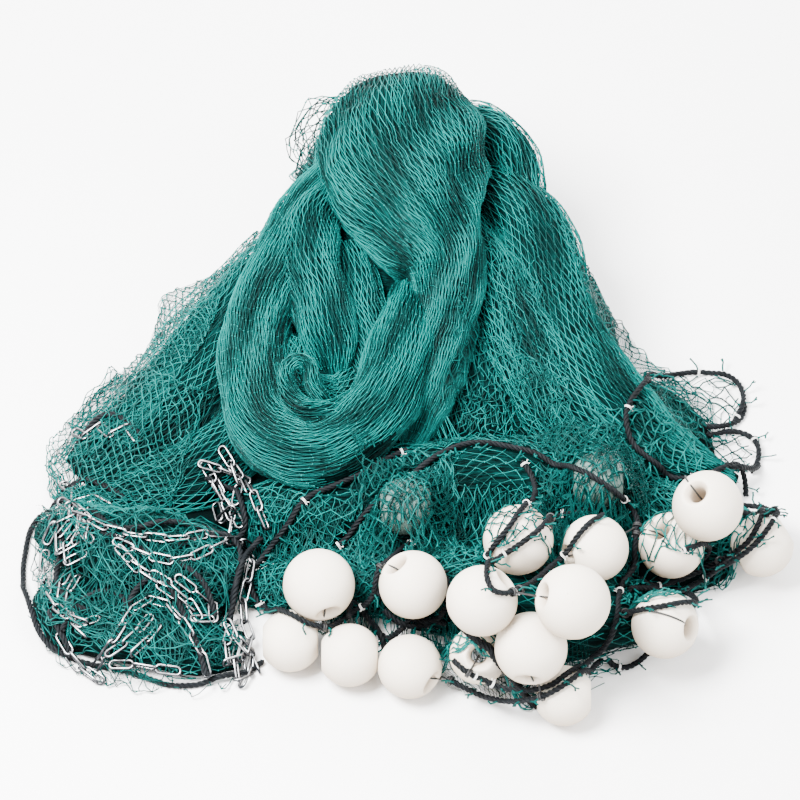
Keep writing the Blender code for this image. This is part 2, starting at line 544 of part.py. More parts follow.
def mound_mesh(mound):
    """Return a low dome of packed netting, whose lower half lies under the floor."""
    bm = bmesh.new()
    bmesh.ops.create_uvsphere(bm, u_segments=MOUND_SEGMENTS, v_segments=MOUND_RINGS, radius=1.0)
    bmesh.ops.scale(bm, vec=(mound.radius_x, mound.radius_y, mound.height), verts=bm.verts)
    bmesh.ops.translate(bm, vec=place(mound.x, mound.y, 0.0), verts=bm.verts)
    bmesh.ops.triangulate(bm, faces=bm.faces)
    mesh = bpy.data.meshes.new("mound")
    bm.to_mesh(mesh)
    bm.free()
    return mesh


def floor_mesh():
    """Return a box that fills all the space below the floor."""
    bm = bmesh.new()
    bmesh.ops.create_cube(bm, size=FLOOR_BOX)
    bmesh.ops.translate(bm, vec=(0.0, 0.0, -FLOOR_BOX / 2.0), verts=bm.verts)
    mesh = bpy.data.meshes.new("floor")
    bm.to_mesh(mesh)
    bm.free()
    return mesh


def hide_cutter(obj):
    """Keep a cutter out of the part."""
    obj.hide_render = True
    obj.display_type = "WIRE"


def finished_graph():
    """Return the dependency graph with all the modifiers worked out."""
    bpy.context.view_layer.update()
    return bpy.context.evaluated_depsgraph_get()


def shell_of(start):
    """Return the vertices of the closed surface that a vertex is on."""
    shell = {start}
    edge_of_shell = [start]
    while edge_of_shell:
        vertex = edge_of_shell.pop()
        for edge in vertex.link_edges:
            beside = edge.other_vert(vertex)
            if beside not in shell:
                shell.add(beside)
                edge_of_shell.append(beside)
    return shell


def fill_hollows(mesh):
    """Fill the sealed hollows between the folds, so that only the outer surface is left."""
    bm = bmesh.new()
    bm.from_mesh(mesh)
    highest = max(bm.verts, key=lambda vertex: vertex.co.z)
    outer = shell_of(highest)
    inner = [vertex for vertex in bm.verts if vertex not in outer]
    bmesh.ops.delete(bm, geom=inner, context="VERTS")
    bm.to_mesh(mesh)
    bm.free()
    return mesh


def build_netting(parts, folds, cutters, material):
    """Join the folds and mounds into one body and cut it flat at the floor."""
    netting = make_object("netting", fold_mesh(FOLDS[0]), parts, material)
    for fold in FOLDS[1:]:
        hide_cutter(make_object("fold_" + fold.name, fold_mesh(fold), folds))
    for index, mound in enumerate(MOUNDS):
        hide_cutter(make_object("mound_%d" % index, mound_mesh(mound), folds))
    floor = make_object("floor", floor_mesh(), cutters)
    hide_cutter(floor)
    join = netting.modifiers.new("join_folds", "BOOLEAN")
    join.operation = "UNION"
    join.solver = "EXACT"
    join.operand_type = "COLLECTION"
    join.collection = folds
    flatten = netting.modifiers.new("flat_base", "BOOLEAN")
    flatten.operation = "DIFFERENCE"
    flatten.solver = "EXACT"
    flatten.object = floor
    joined = bpy.data.meshes.new_from_object(netting.evaluated_get(finished_graph()))
    netting.modifiers.clear()
    netting.data = fill_hollows(joined)
    return netting


# ---------------------------------------------------------------- things laid on the heap


class Pile:
    """The solids laid so far, as one set of faces that the next piece comes to rest on.

    Faces that lie on the floor are left out, because nothing comes at them from below.
    """

    def __init__(self):
        self.points = []
        self.faces = []
        self.tree = None

    def add(self, obj):
        """Add an object's finished shape."""
        points, faces = finished_faces(obj)
        start = len(self.points)
        self.points += points
        for face in faces:
            if max(points[index].z for index in face) > FLAT_BASE:
                self.faces.append(tuple(start + index for index in face))
        self.tree = BVHTree.FromPolygons(self.points, self.faces)

    def holds(self, point):
        """Tell whether a point is inside a solid, by counting the surfaces above it."""
        above = 0
        hit = point
        while hit is not None:
            hit = self.tree.ray_cast(hit + Vector((0.0, 0.0, FLAT_BASE)), Vector((0.0, 0.0, 1.0)))[0]
            above += hit is not None
        return above % 2 == 1

    def clear_of(self, point, reach):
        """Return the nearest place to a point that is a given distance from all the solids."""
        point.z = max(point.z, reach)
        hit, normal, _, distance = self.tree.find_nearest(point)
        away = point - hit
        if away.dot(normal) < 0.0 and self.holds(point):
            return hit + normal * reach
        if distance < reach:
            return hit + away.normalized() * reach
        return point


def finished_faces(obj):
    """Return an object's evaluated points in the part's frame, and its faces."""
    evaluated = obj.evaluated_get(finished_graph())
    mesh = evaluated.to_mesh()
    points = [evaluated.matrix_world @ vertex.co for vertex in mesh.vertices]
    faces = [tuple(polygon.vertices) for polygon in mesh.polygons]
    evaluated.to_mesh_clear()
    return points, faces


def drop(obj, pile):
    """Lower an object straight down until it just clears what lies below it."""
    points, faces = finished_faces(obj)
    lowest = min(point.z for point in points)

    def touches(height):
        moved = [point + Vector((0.0, 0.0, height)) for point in points]
        return bool(BVHTree.FromPolygons(moved, faces).overlap(pile.tree))

    clear = DROP_START
    while clear - DROP_STEP > -lowest and not touches(clear - DROP_STEP):
        clear -= DROP_STEP
    blocked = max(clear - DROP_STEP, -lowest)
    if not touches(blocked):
        obj.location.z += blocked
        return
    for _ in range(DROP_HALVINGS):
        middle = (clear + blocked) / 2.0
        if touches(middle):
            blocked = middle
        else:
            clear = middle
    obj.location.z += clear + PIECE_GAP


# ---------------------------------------------------------------- floats


def float_profile(diameter):
    """Return a ball float's outline as (radius, height): its skin, flared mouths and bore."""
    radius = diameter / 2.0
    first = math.asin(FLOAT_MOUTH / 2.0 / radius)
    sweep = math.pi - 2.0 * first
    skin = []
    for index in range(FLOAT_ARC_POINTS + 1):
        angle = first + sweep * index / FLOAT_ARC_POINTS
        skin.append((radius * math.sin(angle), radius * math.cos(angle)))
    throat = skin[0][1] - FLOAT_MOUTH_DEPTH
    bore = FLOAT_BORE / 2.0
    return skin + [(bore, -throat), (bore, throat)]


def build_float(name, ball, parts, material):
    """Turn one ball float about its bore."""
    profile = float_profile(ball.diameter)
    mesh = bpy.data.meshes.new(name)
    edges = [(index, (index + 1) % len(profile)) for index in range(len(profile))]
    mesh.from_pydata([(r, 0.0, z) for r, z in profile], edges, [])
    obj = make_object(name, mesh, parts, material)
    turn = obj.modifiers.new("turn", "SCREW")
    turn.steps = FLOAT_STEPS
    turn.render_steps = FLOAT_STEPS
    turn.use_merge_vertices = True
    turn.merge_threshold = WELD_DISTANCE
    obj.rotation_euler = (0.0, math.radians(ball.bore_tilt), math.radians(ball.bore_turn))
    obj.location = place(ball.x, ball.y, 0.0)
    bpy.context.view_layer.update()
    return obj


# ---------------------------------------------------------------- ropes and chain


def spaced_points(route):
    """Return points along a smooth curve through a route, about LINE_SPACING widths apart."""
    route_points = [place(*point) for point in route.points]
    fine = [Vector(row) for row in smooth_rows(route_points, CURVE_STEPS)]
    lift = Vector((0.0, 0.0, route.width * LINE_LIFT))
    spacing = LINE_SPACING * route.width
    length = sum((end - start).length for start, end in zip(fine, fine[1:]))
    spacing = length / math.ceil(length / spacing)
    spaced = [fine[0] + lift]
    walked = 0.0
    for start, end in zip(fine, fine[1:]):
        step = (end - start).length
        while walked + step >= spacing * len(spaced) - FLAT_BASE:
            share = (spacing * len(spaced) - walked) / step
            spaced.append(start.lerp(end, share) + lift)
        walked += step
    return spaced


def lay_line(route, pile):
    """Bring a route's points to rest against the heap, clear of all that lies below."""
    reach = route.width / 2.0 + LINE_GAP
    points = spaced_points(route)
    for turn in range(LAY_TURNS):
        if turn < EASE_TURNS:
            for index in range(1, len(points) - 1):
                middle = (points[index - 1] + points[index + 1]) / 2.0
                points[index] = points[index].lerp(middle, EASE_SHARE)
        for index, point in enumerate(points):
            if turn < SINK_TURNS:
                point.z -= SINK_STEP
            points[index] = pile.clear_of(point, reach)
        for index in range(len(points) - 1):
            for share in SPAN_SHARES:
                between = points[index].lerp(points[index + 1], share)
                push = pile.clear_of(between.copy(), reach) - between
                points[index] += push * (1.0 - share) * PUSH_SHARE
                points[index + 1] += push * share * PUSH_SHARE
    return points


def build_line(route, points, parts, material):
    """Make a round tube along a laid route."""
    curve = bpy.data.curves.new(route.name, "CURVE")
    curve.dimensions = "3D"
    curve.bevel_depth = route.width / 2.0
    curve.bevel_resolution = LINE_BEVEL
    curve.use_fill_caps = True
    spline = curve.splines.new("POLY")
    spline.points.add(len(points) - 1)
    for target, point in zip(spline.points, points):
        target.co = (*point, 1.0)
    return make_object(route.name, curve, parts, material)


# ---------------------------------------------------------------- the part


def new_collection(name):
    """Add a collection to the scene."""
    collection = bpy.data.collections.new(name)
    bpy.context.scene.collection.children.link(collection)
    return collection


def main():
    """Build the heap from the netting up."""
    for obj in list(bpy.data.objects):
        bpy.data.objects.remove(obj, do_unlink=True)
    parts = new_collection("fishing_net")
    folds = new_collection("netting_folds")
    cutters = new_collection("cutters")
    twine = make_material("green_twine", (0.02, 0.35, 0.27), 0.55)
    foam = make_material("cream_foam", (0.86, 0.83, 0.77), 0.6)
    rope = make_material("black_rope", (0.03, 0.03, 0.035), 0.7)
    zinc = make_material("zinc_chain", (0.75, 0.76, 0.78), 0.3, 1.0)

    pile = Pile()
    pile.add(build_netting(parts, folds, cutters, twine))
    for index, ball in enumerate(BALLS):
        obj = build_float("float_%02d" % (index + 1), ball, parts, foam)
        drop(obj, pile)
        bpy.context.view_layer.update()
        pile.add(obj)
    for route in ROUTES:
        material = zinc if route.width == CHAIN_WIDTH else rope
        obj = build_line(route, lay_line(route, pile), parts, material)
        bpy.context.view_layer.update()
        pile.add(obj)


main()
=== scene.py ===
"""The looks of a fishing net that lies gathered in a heap: twine, ropes, floats, chain and ties.

Metres, +Z up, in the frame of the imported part. Every piece is built around the part's solids.
"""

import logging
import math
from collections.abc import Iterable, Sequence
from dataclasses import dataclass, field
from enum import Enum
from functools import cache

import bmesh
import bpy
import numpy as np
from bmesh.types import BMesh, BMVert
from bpy.types import Material, Mesh, Node, NodeSocket, NodeTree, Object
from mathutils import Matrix, Vector
from mathutils.bvhtree import BVHTree
from mathutils.kdtree import KDTree


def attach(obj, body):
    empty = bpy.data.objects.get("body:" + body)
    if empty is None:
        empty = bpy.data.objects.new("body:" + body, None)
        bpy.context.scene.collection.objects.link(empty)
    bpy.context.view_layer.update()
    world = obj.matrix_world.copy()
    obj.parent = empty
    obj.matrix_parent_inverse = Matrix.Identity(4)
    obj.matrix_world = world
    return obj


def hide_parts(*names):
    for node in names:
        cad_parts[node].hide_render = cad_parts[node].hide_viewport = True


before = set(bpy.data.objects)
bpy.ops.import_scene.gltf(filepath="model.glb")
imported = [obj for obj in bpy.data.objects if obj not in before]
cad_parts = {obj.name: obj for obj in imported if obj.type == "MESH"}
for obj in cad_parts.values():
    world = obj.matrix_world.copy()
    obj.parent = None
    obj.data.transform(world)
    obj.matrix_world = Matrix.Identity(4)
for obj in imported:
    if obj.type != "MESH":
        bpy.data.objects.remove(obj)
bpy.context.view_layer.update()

BODY = "root"
UP = Vector((0.0, 0.0, 1.0))

# The tables of places hold whole millimetres, TABLE_UNITS to a metre. In them the frame's origin
# lies at HEAP_CENTRE.
TABLE_UNITS = 1000.0
HEAP_CENTRE = Vector((-0.0022, 0.1386, 0.0))

Array = np.ndarray
log = logging.getLogger("fishing_net")

# ---- shader maths


class Value:
    """A number that varies over a surface; operators on it add Math nodes."""

    def __init__(self, board: "Board", socket: NodeSocket) -> None:
        """Wrap a socket.

        Args:
            board: The material that the socket is in.
            socket: The output that gives the number.
        """
        self.board = board
        self.socket = socket

    def _with(self, operation: str, first: object, second: object) -> "Value":
        """Return the result of a Math node on two values or numbers."""
        made = self.board.node("Math", {"operation": operation}, {0: first, 1: second})
        return Value(self.board, made.outputs[0])

    def __add__(self, other: object) -> "Value":
        """Return self + other, or other + self."""
        return self._with("ADD", self, other)

    __radd__ = __add__

    def __sub__(self, other: object) -> "Value":
        """Return self - other."""
        return self._with("SUBTRACT", self, other)

    def __rsub__(self, other: object) -> "Value":
        """Return other - self."""
        return self._with("SUBTRACT", other, self)

    def __mul__(self, other: object) -> "Value":
        """Return self * other, or other * self."""
        return self._with("MULTIPLY", self, other)

    __rmul__ = __mul__

    def fraction(self) -> "Value":
        """Return what is left of the value after its whole part."""
        return self._with("FRACT", self, 0.0)

    def size(self) -> "Value":
        """Return the value without its sign."""
        return self._with("ABSOLUTE", self, 0.0)

    def most(self, other: "Value") -> "Value":
        """Return the greater of two values."""
        return self._with("MAXIMUM", self, other)

    def clamped(self) -> "Value":
        """Return the value held between 0 and 1."""
        made = self.board.node("Clamp", {}, {0: self})
        return Value(self.board, made.outputs[0])


class Board:
    """The node tree of one material, with short ways to add to it."""

    def __init__(self, name: str) -> None:
        """Start a material with only its output.

        Args:
            name: The material's name.
        """
        self.material = bpy.data.materials.new(name)
        self.material.use_nodes = True
        self.tree = self.material.node_tree
        self.tree.nodes.clear()
        self.end = self.tree.nodes.new("ShaderNodeOutputMaterial")

    def node(self, kind: str, settings: dict, sockets: dict) -> Node:
        """Add a node.

        Args:
            kind: The node's type, without the "ShaderNode" that it starts with.
            settings: Its properties; "stops" holds a ramp's (place, colour) pairs.
            sockets: What goes into its inputs, by name or number: a number, colour or link.

        Returns:
            The new node.
        """
        made = self.tree.nodes.new("ShaderNode" + kind)
        for key, setting in settings.items():
            if key != "stops":
                setattr(made, key, setting)
                continue
            ramp = made.color_ramp
            while len(ramp.elements) < len(setting):
                ramp.elements.new(1.0)
            for element, (place, colour) in zip(ramp.elements, setting):
                element.position = place
                element.color = (*colour, 1.0)
        for key, given in sockets.items():
            if isinstance(given, Value):
                given = given.socket
            if isinstance(given, NodeSocket):
                self.tree.links.new(given, made.inputs[key])
            else:
                made.inputs[key].default_value = given
        return made

    def coordinates(
        self, source: str = "Object", stretch: Sequence[float] = (1.0, 1.0, 1.0)
    ) -> NodeSocket:
        """Return stretched texture coordinates.

        Args:
            source: "Object" or "UV".
            stretch: How often the pattern repeats along each axis.

        Returns:
            The coordinates' socket.
        """
        where = self.node("TexCoord", {}, {}).outputs[source]
        return self.node("Mapping", {}, {"Vector": where, "Scale": stretch}).outputs[0]

    def attribute(self, name: str) -> Value:
        """Return an attribute of the mesh."""
        return Value(self, self.node("Attribute", {"attribute_name": name}, {}).outputs["Fac"])

    def axes(self, vector: NodeSocket) -> list[Value]:
        """Return the three parts of a vector."""
        return [Value(self, part) for part in self.node("SeparateXYZ", {}, {0: vector}).outputs]

    def upward(self) -> Value:
        """Return how far the surface faces up, from -1 to 1."""
        return self.axes(self.node("NewGeometry", {}, {}).outputs["Normal"])[2]

    def noise(self, where: NodeSocket, scale: float, detail: float = 2.0) -> Value:
        """Return soft noise between 0 and 1 at some coordinates."""
        made = self.node("TexNoise", {}, {"Vector": where, "Scale": scale, "Detail": detail})
        return Value(self, made.outputs[0])

    def ramp(self, value: Value, stops: Sequence[tuple]) -> NodeSocket:
        """Return a colour that follows a value through (place, colour) stops."""
        return self.node("ValToRGB", {"stops": stops}, {0: value}).outputs[0]

    def mixed(self, share: Value, low: object, high: object) -> NodeSocket:
        """Return a blend of two colours, each a socket or three numbers.

        Args:
            share: How much of the high colour there is.
            low: The colour at 0.
            high: The colour at 1.

        Returns:
            The blend's socket.
        """
        ends = [(*end, 1.0) if isinstance(end, tuple) else end for end in (low, high)]
        made = self.node("Mix", {"data_type": "RGBA"}, {0: share, 6: ends[0], 7: ends[1]})
        return made.outputs[2]

    def bumped(self, height: Value, distance: float, strength: float = 1.0) -> NodeSocket:
        """Return a normal that is raised by a height."""
        sockets = {"Height": height, "Distance": distance, "Strength": strength}
        return self.node("Bump", {}, sockets).outputs[0]

    def finish(self, sockets: dict) -> Material:
        """Close the material with a Principled shader that has these inputs.

        Args:
            sockets: The shader's inputs, by name.

        Returns:
            The material.
        """
        shader = self.node("BsdfPrincipled", {}, sockets)
        self.tree.links.new(shader.outputs[0], self.end.inputs[0])
        return self.material


# ---- finishes

Colour = tuple[float, float, float]


def twine_colour(board: Board, stops: Sequence[Colour]) -> NodeSocket:
    """Return twine's colour: each strand's tone, which holds its own tone and the painted shade and light
    laid into it, with soft patches and fine flecks.

    Args:
        board: The material.
        stops: Its deep, middle and bright colours.

    Returns:
        The colour's socket.
    """
    place = board.coordinates()
    level = board.attribute("tone") * 0.62 + board.noise(place, 22.0) * 0.26
    level = level + board.noise(place, 420.0) * 0.12
    return board.ramp(level, tuple(zip((0.16, 0.44, 0.82), stops)))


@dataclass(frozen=True)
class TwineFinish:
    """Knotted nylon twine: a teal that shifts from strand to strand."""

    name: str = "green_twine"
    stops: tuple[Colour, ...] = ((0.000, 0.005, 0.0045), (0.000, 0.030, 0.027), (0.000, 0.138, 0.124))

    def make(self) -> Material:
        """Return the material; a strand's tone, with its painted shade and light, comes from its attribute.

        Returns:
            The material.
        """
        board = Board(self.name)
        colour = twine_colour(board, self.stops)
        return board.finish({"Base Color": colour, "Roughness": 0.50, "Specular IOR Level": 0.08})


@dataclass(frozen=True)
class PackedTwineFinish:
    """Netting packed so tightly that only its streaks show; its dark colours are painted shade between and
    under the strands, and it darkens further towards the floor.
    """

    name: str = "packed_twine"
    # Painted shade: the gap and deep colours stand for the shadow between the strands, deep in the heap.
    gap: Colour = (0.000, 0.002, 0.002)
    deep: Colour = (0.000, 0.012, 0.011)
    strand: Colour = (0.000, 0.046, 0.041)
    rise: float = 9.0

    def make(self) -> Material:
        """Return the material; its streaks run along the piece's UV map, in metres.

        Returns:
            The material.
        """
        board = Board(self.name)
        streaks = board.noise(board.coordinates("UV", (22.0, 620.0, 1.0)), 1.0, 3.0)
        crossing = board.noise(board.coordinates("UV", (90.0, 260.0, 1.0)), 1.0, 2.0)
        place = board.coordinates()
        patch = board.noise(place, 14.0)
        # Painted shade: the netting darkens towards the floor, within about 0.11 m of it.
        shade = (1.0 - board.axes(place)[2] * self.rise).clamped() * 0.13
        level = (streaks * 0.62 + crossing * 0.26 + patch * 0.12 - shade).clamped()
        colour = board.ramp(level, ((0.40, self.gap), (0.52, self.deep), (0.66, self.strand)))
        return board.finish({
            "Base Color": colour,
            "Roughness": 0.9,
            "Specular IOR Level": 0.03,
            "Normal": board.bumped(level, 0.003),
        })


@dataclass(frozen=True)
class SheetFinish:
    """A thin layer of gathered netting: only its crossing strands show, the rest is open.

    Attributes:
        name: The material's name.
        mesh: The width and length of one gathered mesh.
        strand: What share of a mesh each strand covers.
        stops: Its deep, middle and bright colours.
        stray: How far the strands wander.
        sharp: How suddenly a strand's edge ends.
    """

    name: str = "gathered_sheet"
    mesh: tuple[float, float] = (0.0052, 0.021)
    strand: float = 0.12
    stops: tuple[Colour, ...] = ((0.000, 0.007, 0.006), (0.000, 0.030, 0.027), (0.000, 0.138, 0.124))
    stray: float = 0.004
    sharp: float = 14.0

    def make(self) -> Material:
        """Return the material; the meshes lie along the piece's UV map, in metres.

        Returns:
            The material.
        """
        board = Board(self.name)
        width, length, _ = board.axes(board.coordinates("UV"))
        place = board.coordinates()
        drift = (board.noise(place, 24.0) - 0.5) * self.stray
        drift = drift + (board.noise(place, 90.0) - 0.5) * self.stray * 0.3
        across = (width + drift) * (1.0 / self.mesh[0])
        along = (length + drift * 0.7) * (1.0 / self.mesh[1])
        rising, falling = (
            ((way.fraction() - 0.5).size() - (0.5 - self.strand)) * self.sharp
            for way in (across + along, across - along)
        )
        return board.finish({
            "Base Color": twine_colour(board, self.stops),
            "Roughness": 0.6,
            "Specular IOR Level": 0.05,
            "Alpha": rising.most(falling).clamped(),
        })


@dataclass(frozen=True)
class FoamFinish:
    """Moulded cream foam with a fine skin, scuffed and darker in the bore, with painted shade on the sides
    that face down.
    """

    name: str = "cream_foam"
    clean: Colour = (0.725, 0.660, 0.565)
    warm: Colour = (0.650, 0.545, 0.430)
    # Painted shade: the colour of the skin that faces down.
    under: Colour = (0.360, 0.285, 0.205)
    dirt: Colour = (0.30, 0.24, 0.18)

    def make(self) -> Material:
        """Return the material; the attribute "mouth" is 1 inside the bore.

        Returns:
            The material.
        """
        board = Board(self.name)
        place = board.coordinates()
        cloud = board.noise(place, 16.0, 3.0)
        specks = ((board.noise(place, 260.0) - 0.70) * 9.0).clamped()
        share = (board.attribute("mouth") * 0.85 + cloud * 0.30 - 0.05).clamped()
        skin = board.mixed(share, self.clean, self.warm)
        # Painted shade: the skin turns to the under colour as it faces sideways and down.
        colour = board.mixed((0.62 - board.upward() * 0.95).clamped(), skin, self.under)
        grain = board.noise(place, 900.0)
        return board.finish({
            "Base Color": board.mixed(specks * 0.5, colour, self.dirt),
            "Roughness": 0.50 + cloud * 0.18,
            "Normal": board.bumped(grain * 0.5 + cloud, 0.0006, 0.5),
            "Subsurface Weight": 0.06,
            "Subsurface Radius": (0.006, 0.004, 0.003),
        })


@dataclass(frozen=True)
class RopeFinish:
    """Charcoal twisted rope, with fine fibres and a few pale ones."""

    name: str = "black_rope"
    dark: Colour = (0.001, 0.0015, 0.002)
    light: Colour = (0.007, 0.0088, 0.0105)

    def make(self) -> Material:
        """Return the material; fibres follow the strand's own length and girth.

        Returns:
            The material.
        """
        board = Board(self.name)
        ways = {0: board.attribute("along") * 90.0, 1: board.attribute("round") * 11.0}
        fibres = board.noise(board.node("CombineXYZ", {}, ways).outputs[0], 1.0, 3.0)
        cloud = board.noise(board.coordinates(), 30.0)
        colour = board.ramp(fibres * 0.7 + cloud * 0.3, ((0.36, self.dark), (0.68, self.light)))
        return board.finish({
            "Base Color": colour,
            "Roughness": 0.62,
            "Specular IOR Level": 0.09,
            "Normal": board.bumped(fibres, 0.0006, 0.7),
        })


@dataclass(frozen=True)
class ZincFinish:
    """Bright zinc plating, worn duller in patches, with painted shade and dark reflection on its sides and
    undersides.
    """

    name: str = "zinc_chain"
    # Painted shade and dark reflection: the underside and dull colours darken the wire where it faces
    # sideways and down.
    underside_shade: Colour = (0.012, 0.013, 0.015)
    dull: Colour = (0.060, 0.063, 0.070)
    bright: Colour = (0.500, 0.505, 0.520)

    def make(self) -> Material:
        """Return the material.

        Returns:
            The material.
        """
        board = Board(self.name)
        wear = board.noise(board.coordinates(), 120.0, 3.0)
        # The colour follows which way the surface faces, as painted shade and dark reflection, shifted by
        # real worn patches.
        level = board.upward() * 0.72 + wear * 0.36
        colour = board.ramp(level, ((0.34, self.underside_shade), (0.68, self.dull), (0.92, self.bright)))
        return board.finish({
            "Base Color": colour,
            "Metallic": 1.0,
            "Roughness": 0.24 + wear * 0.24,
            "Normal": board.bumped(wear, 0.0003, 0.4),
        })


@dataclass(frozen=True)
class TieFinish:
    """Waxed lashing twine in one colour, with a twist along it."""

    name: str
    colour: Colour

    def make(self) -> Material:
        """Return the material.

        Returns:
            The material.
        """
        board = Board(self.name)
        twist = board.noise(board.coordinates(), 700.0)
        dim = tuple(part * 0.6 for part in self.colour)
        colour = board.ramp(twist, ((0.35, dim), (0.65, self.colour)))
        normal = board.bumped(twist, 0.0004, 0.6)
        return board.finish({"Base Color": colour, "Roughness": 0.6, "Normal": normal})


@dataclass(frozen=True)
class FloorFinish:
    """A plain pale studio floor."""

    name: str = "studio_floor"
    dull: Colour = (0.945, 0.945, 0.945)
    clean: Colour = (0.96, 0.96, 0.96)

    def make(self) -> Material:
        """Return the material.

        Returns:
            The material.
        """
        board = Board(self.name)
        colour = board.ramp(board.noise(board.coordinates(), 3.0), ((0.3, self.dull), (0.7, self.clean)))
        return board.finish({"Base Color": colour, "Roughness": 0.9})


# ---- the netting's folds


class Hang(Enum):
    """How far a stretch of netting is opened: the share of a bar that runs along the fold."""

    TIGHT = 0.995
    GATHERED = 0.97
    OPEN = 0.86
    SLACK = 0.74

    @property
    def spread(self) -> float:
        """How far neighbouring lines of twine swing towards each other, in line spacings."""
        return 0.70 if self is Hang.TIGHT else 0.96

    @property
    def tone(self) -> float:
        """How bright the top layer is: open netting lies lower, in the shade."""
        return 0.40 if self is Hang.OPEN else 0.66


@dataclass(frozen=True)
class Fold:
    """A gathered fold of netting, and how its twine shows.

    Attributes:
        name: The fold's name.
        pleats: How many lengthwise pleats it shows.
        pleat_depth: Their share of the radius.
        between: How many sections the solid adds in each span.
        lines: How many lines of twine run along it, all the way round.
        layers: How many layers of netting show, one under the other.
        hang: How far the meshes are opened.
        ruffle: How far the twine strays from its place.
        wrap: How fast the twine turns round the fold, in radians a metre.
        packed: Whether packed netting fills it.
        rows: Its cross sections in millimetres: each one's centre, half width and half height.
    """

    name: str
    pleats: int
    pleat_depth: float
    between: int
    lines: int
    layers: int
    hang: Hang
    ruffle: float
    wrap: float
    packed: bool
    rows: tuple[tuple[int, int, int, int, int], ...]


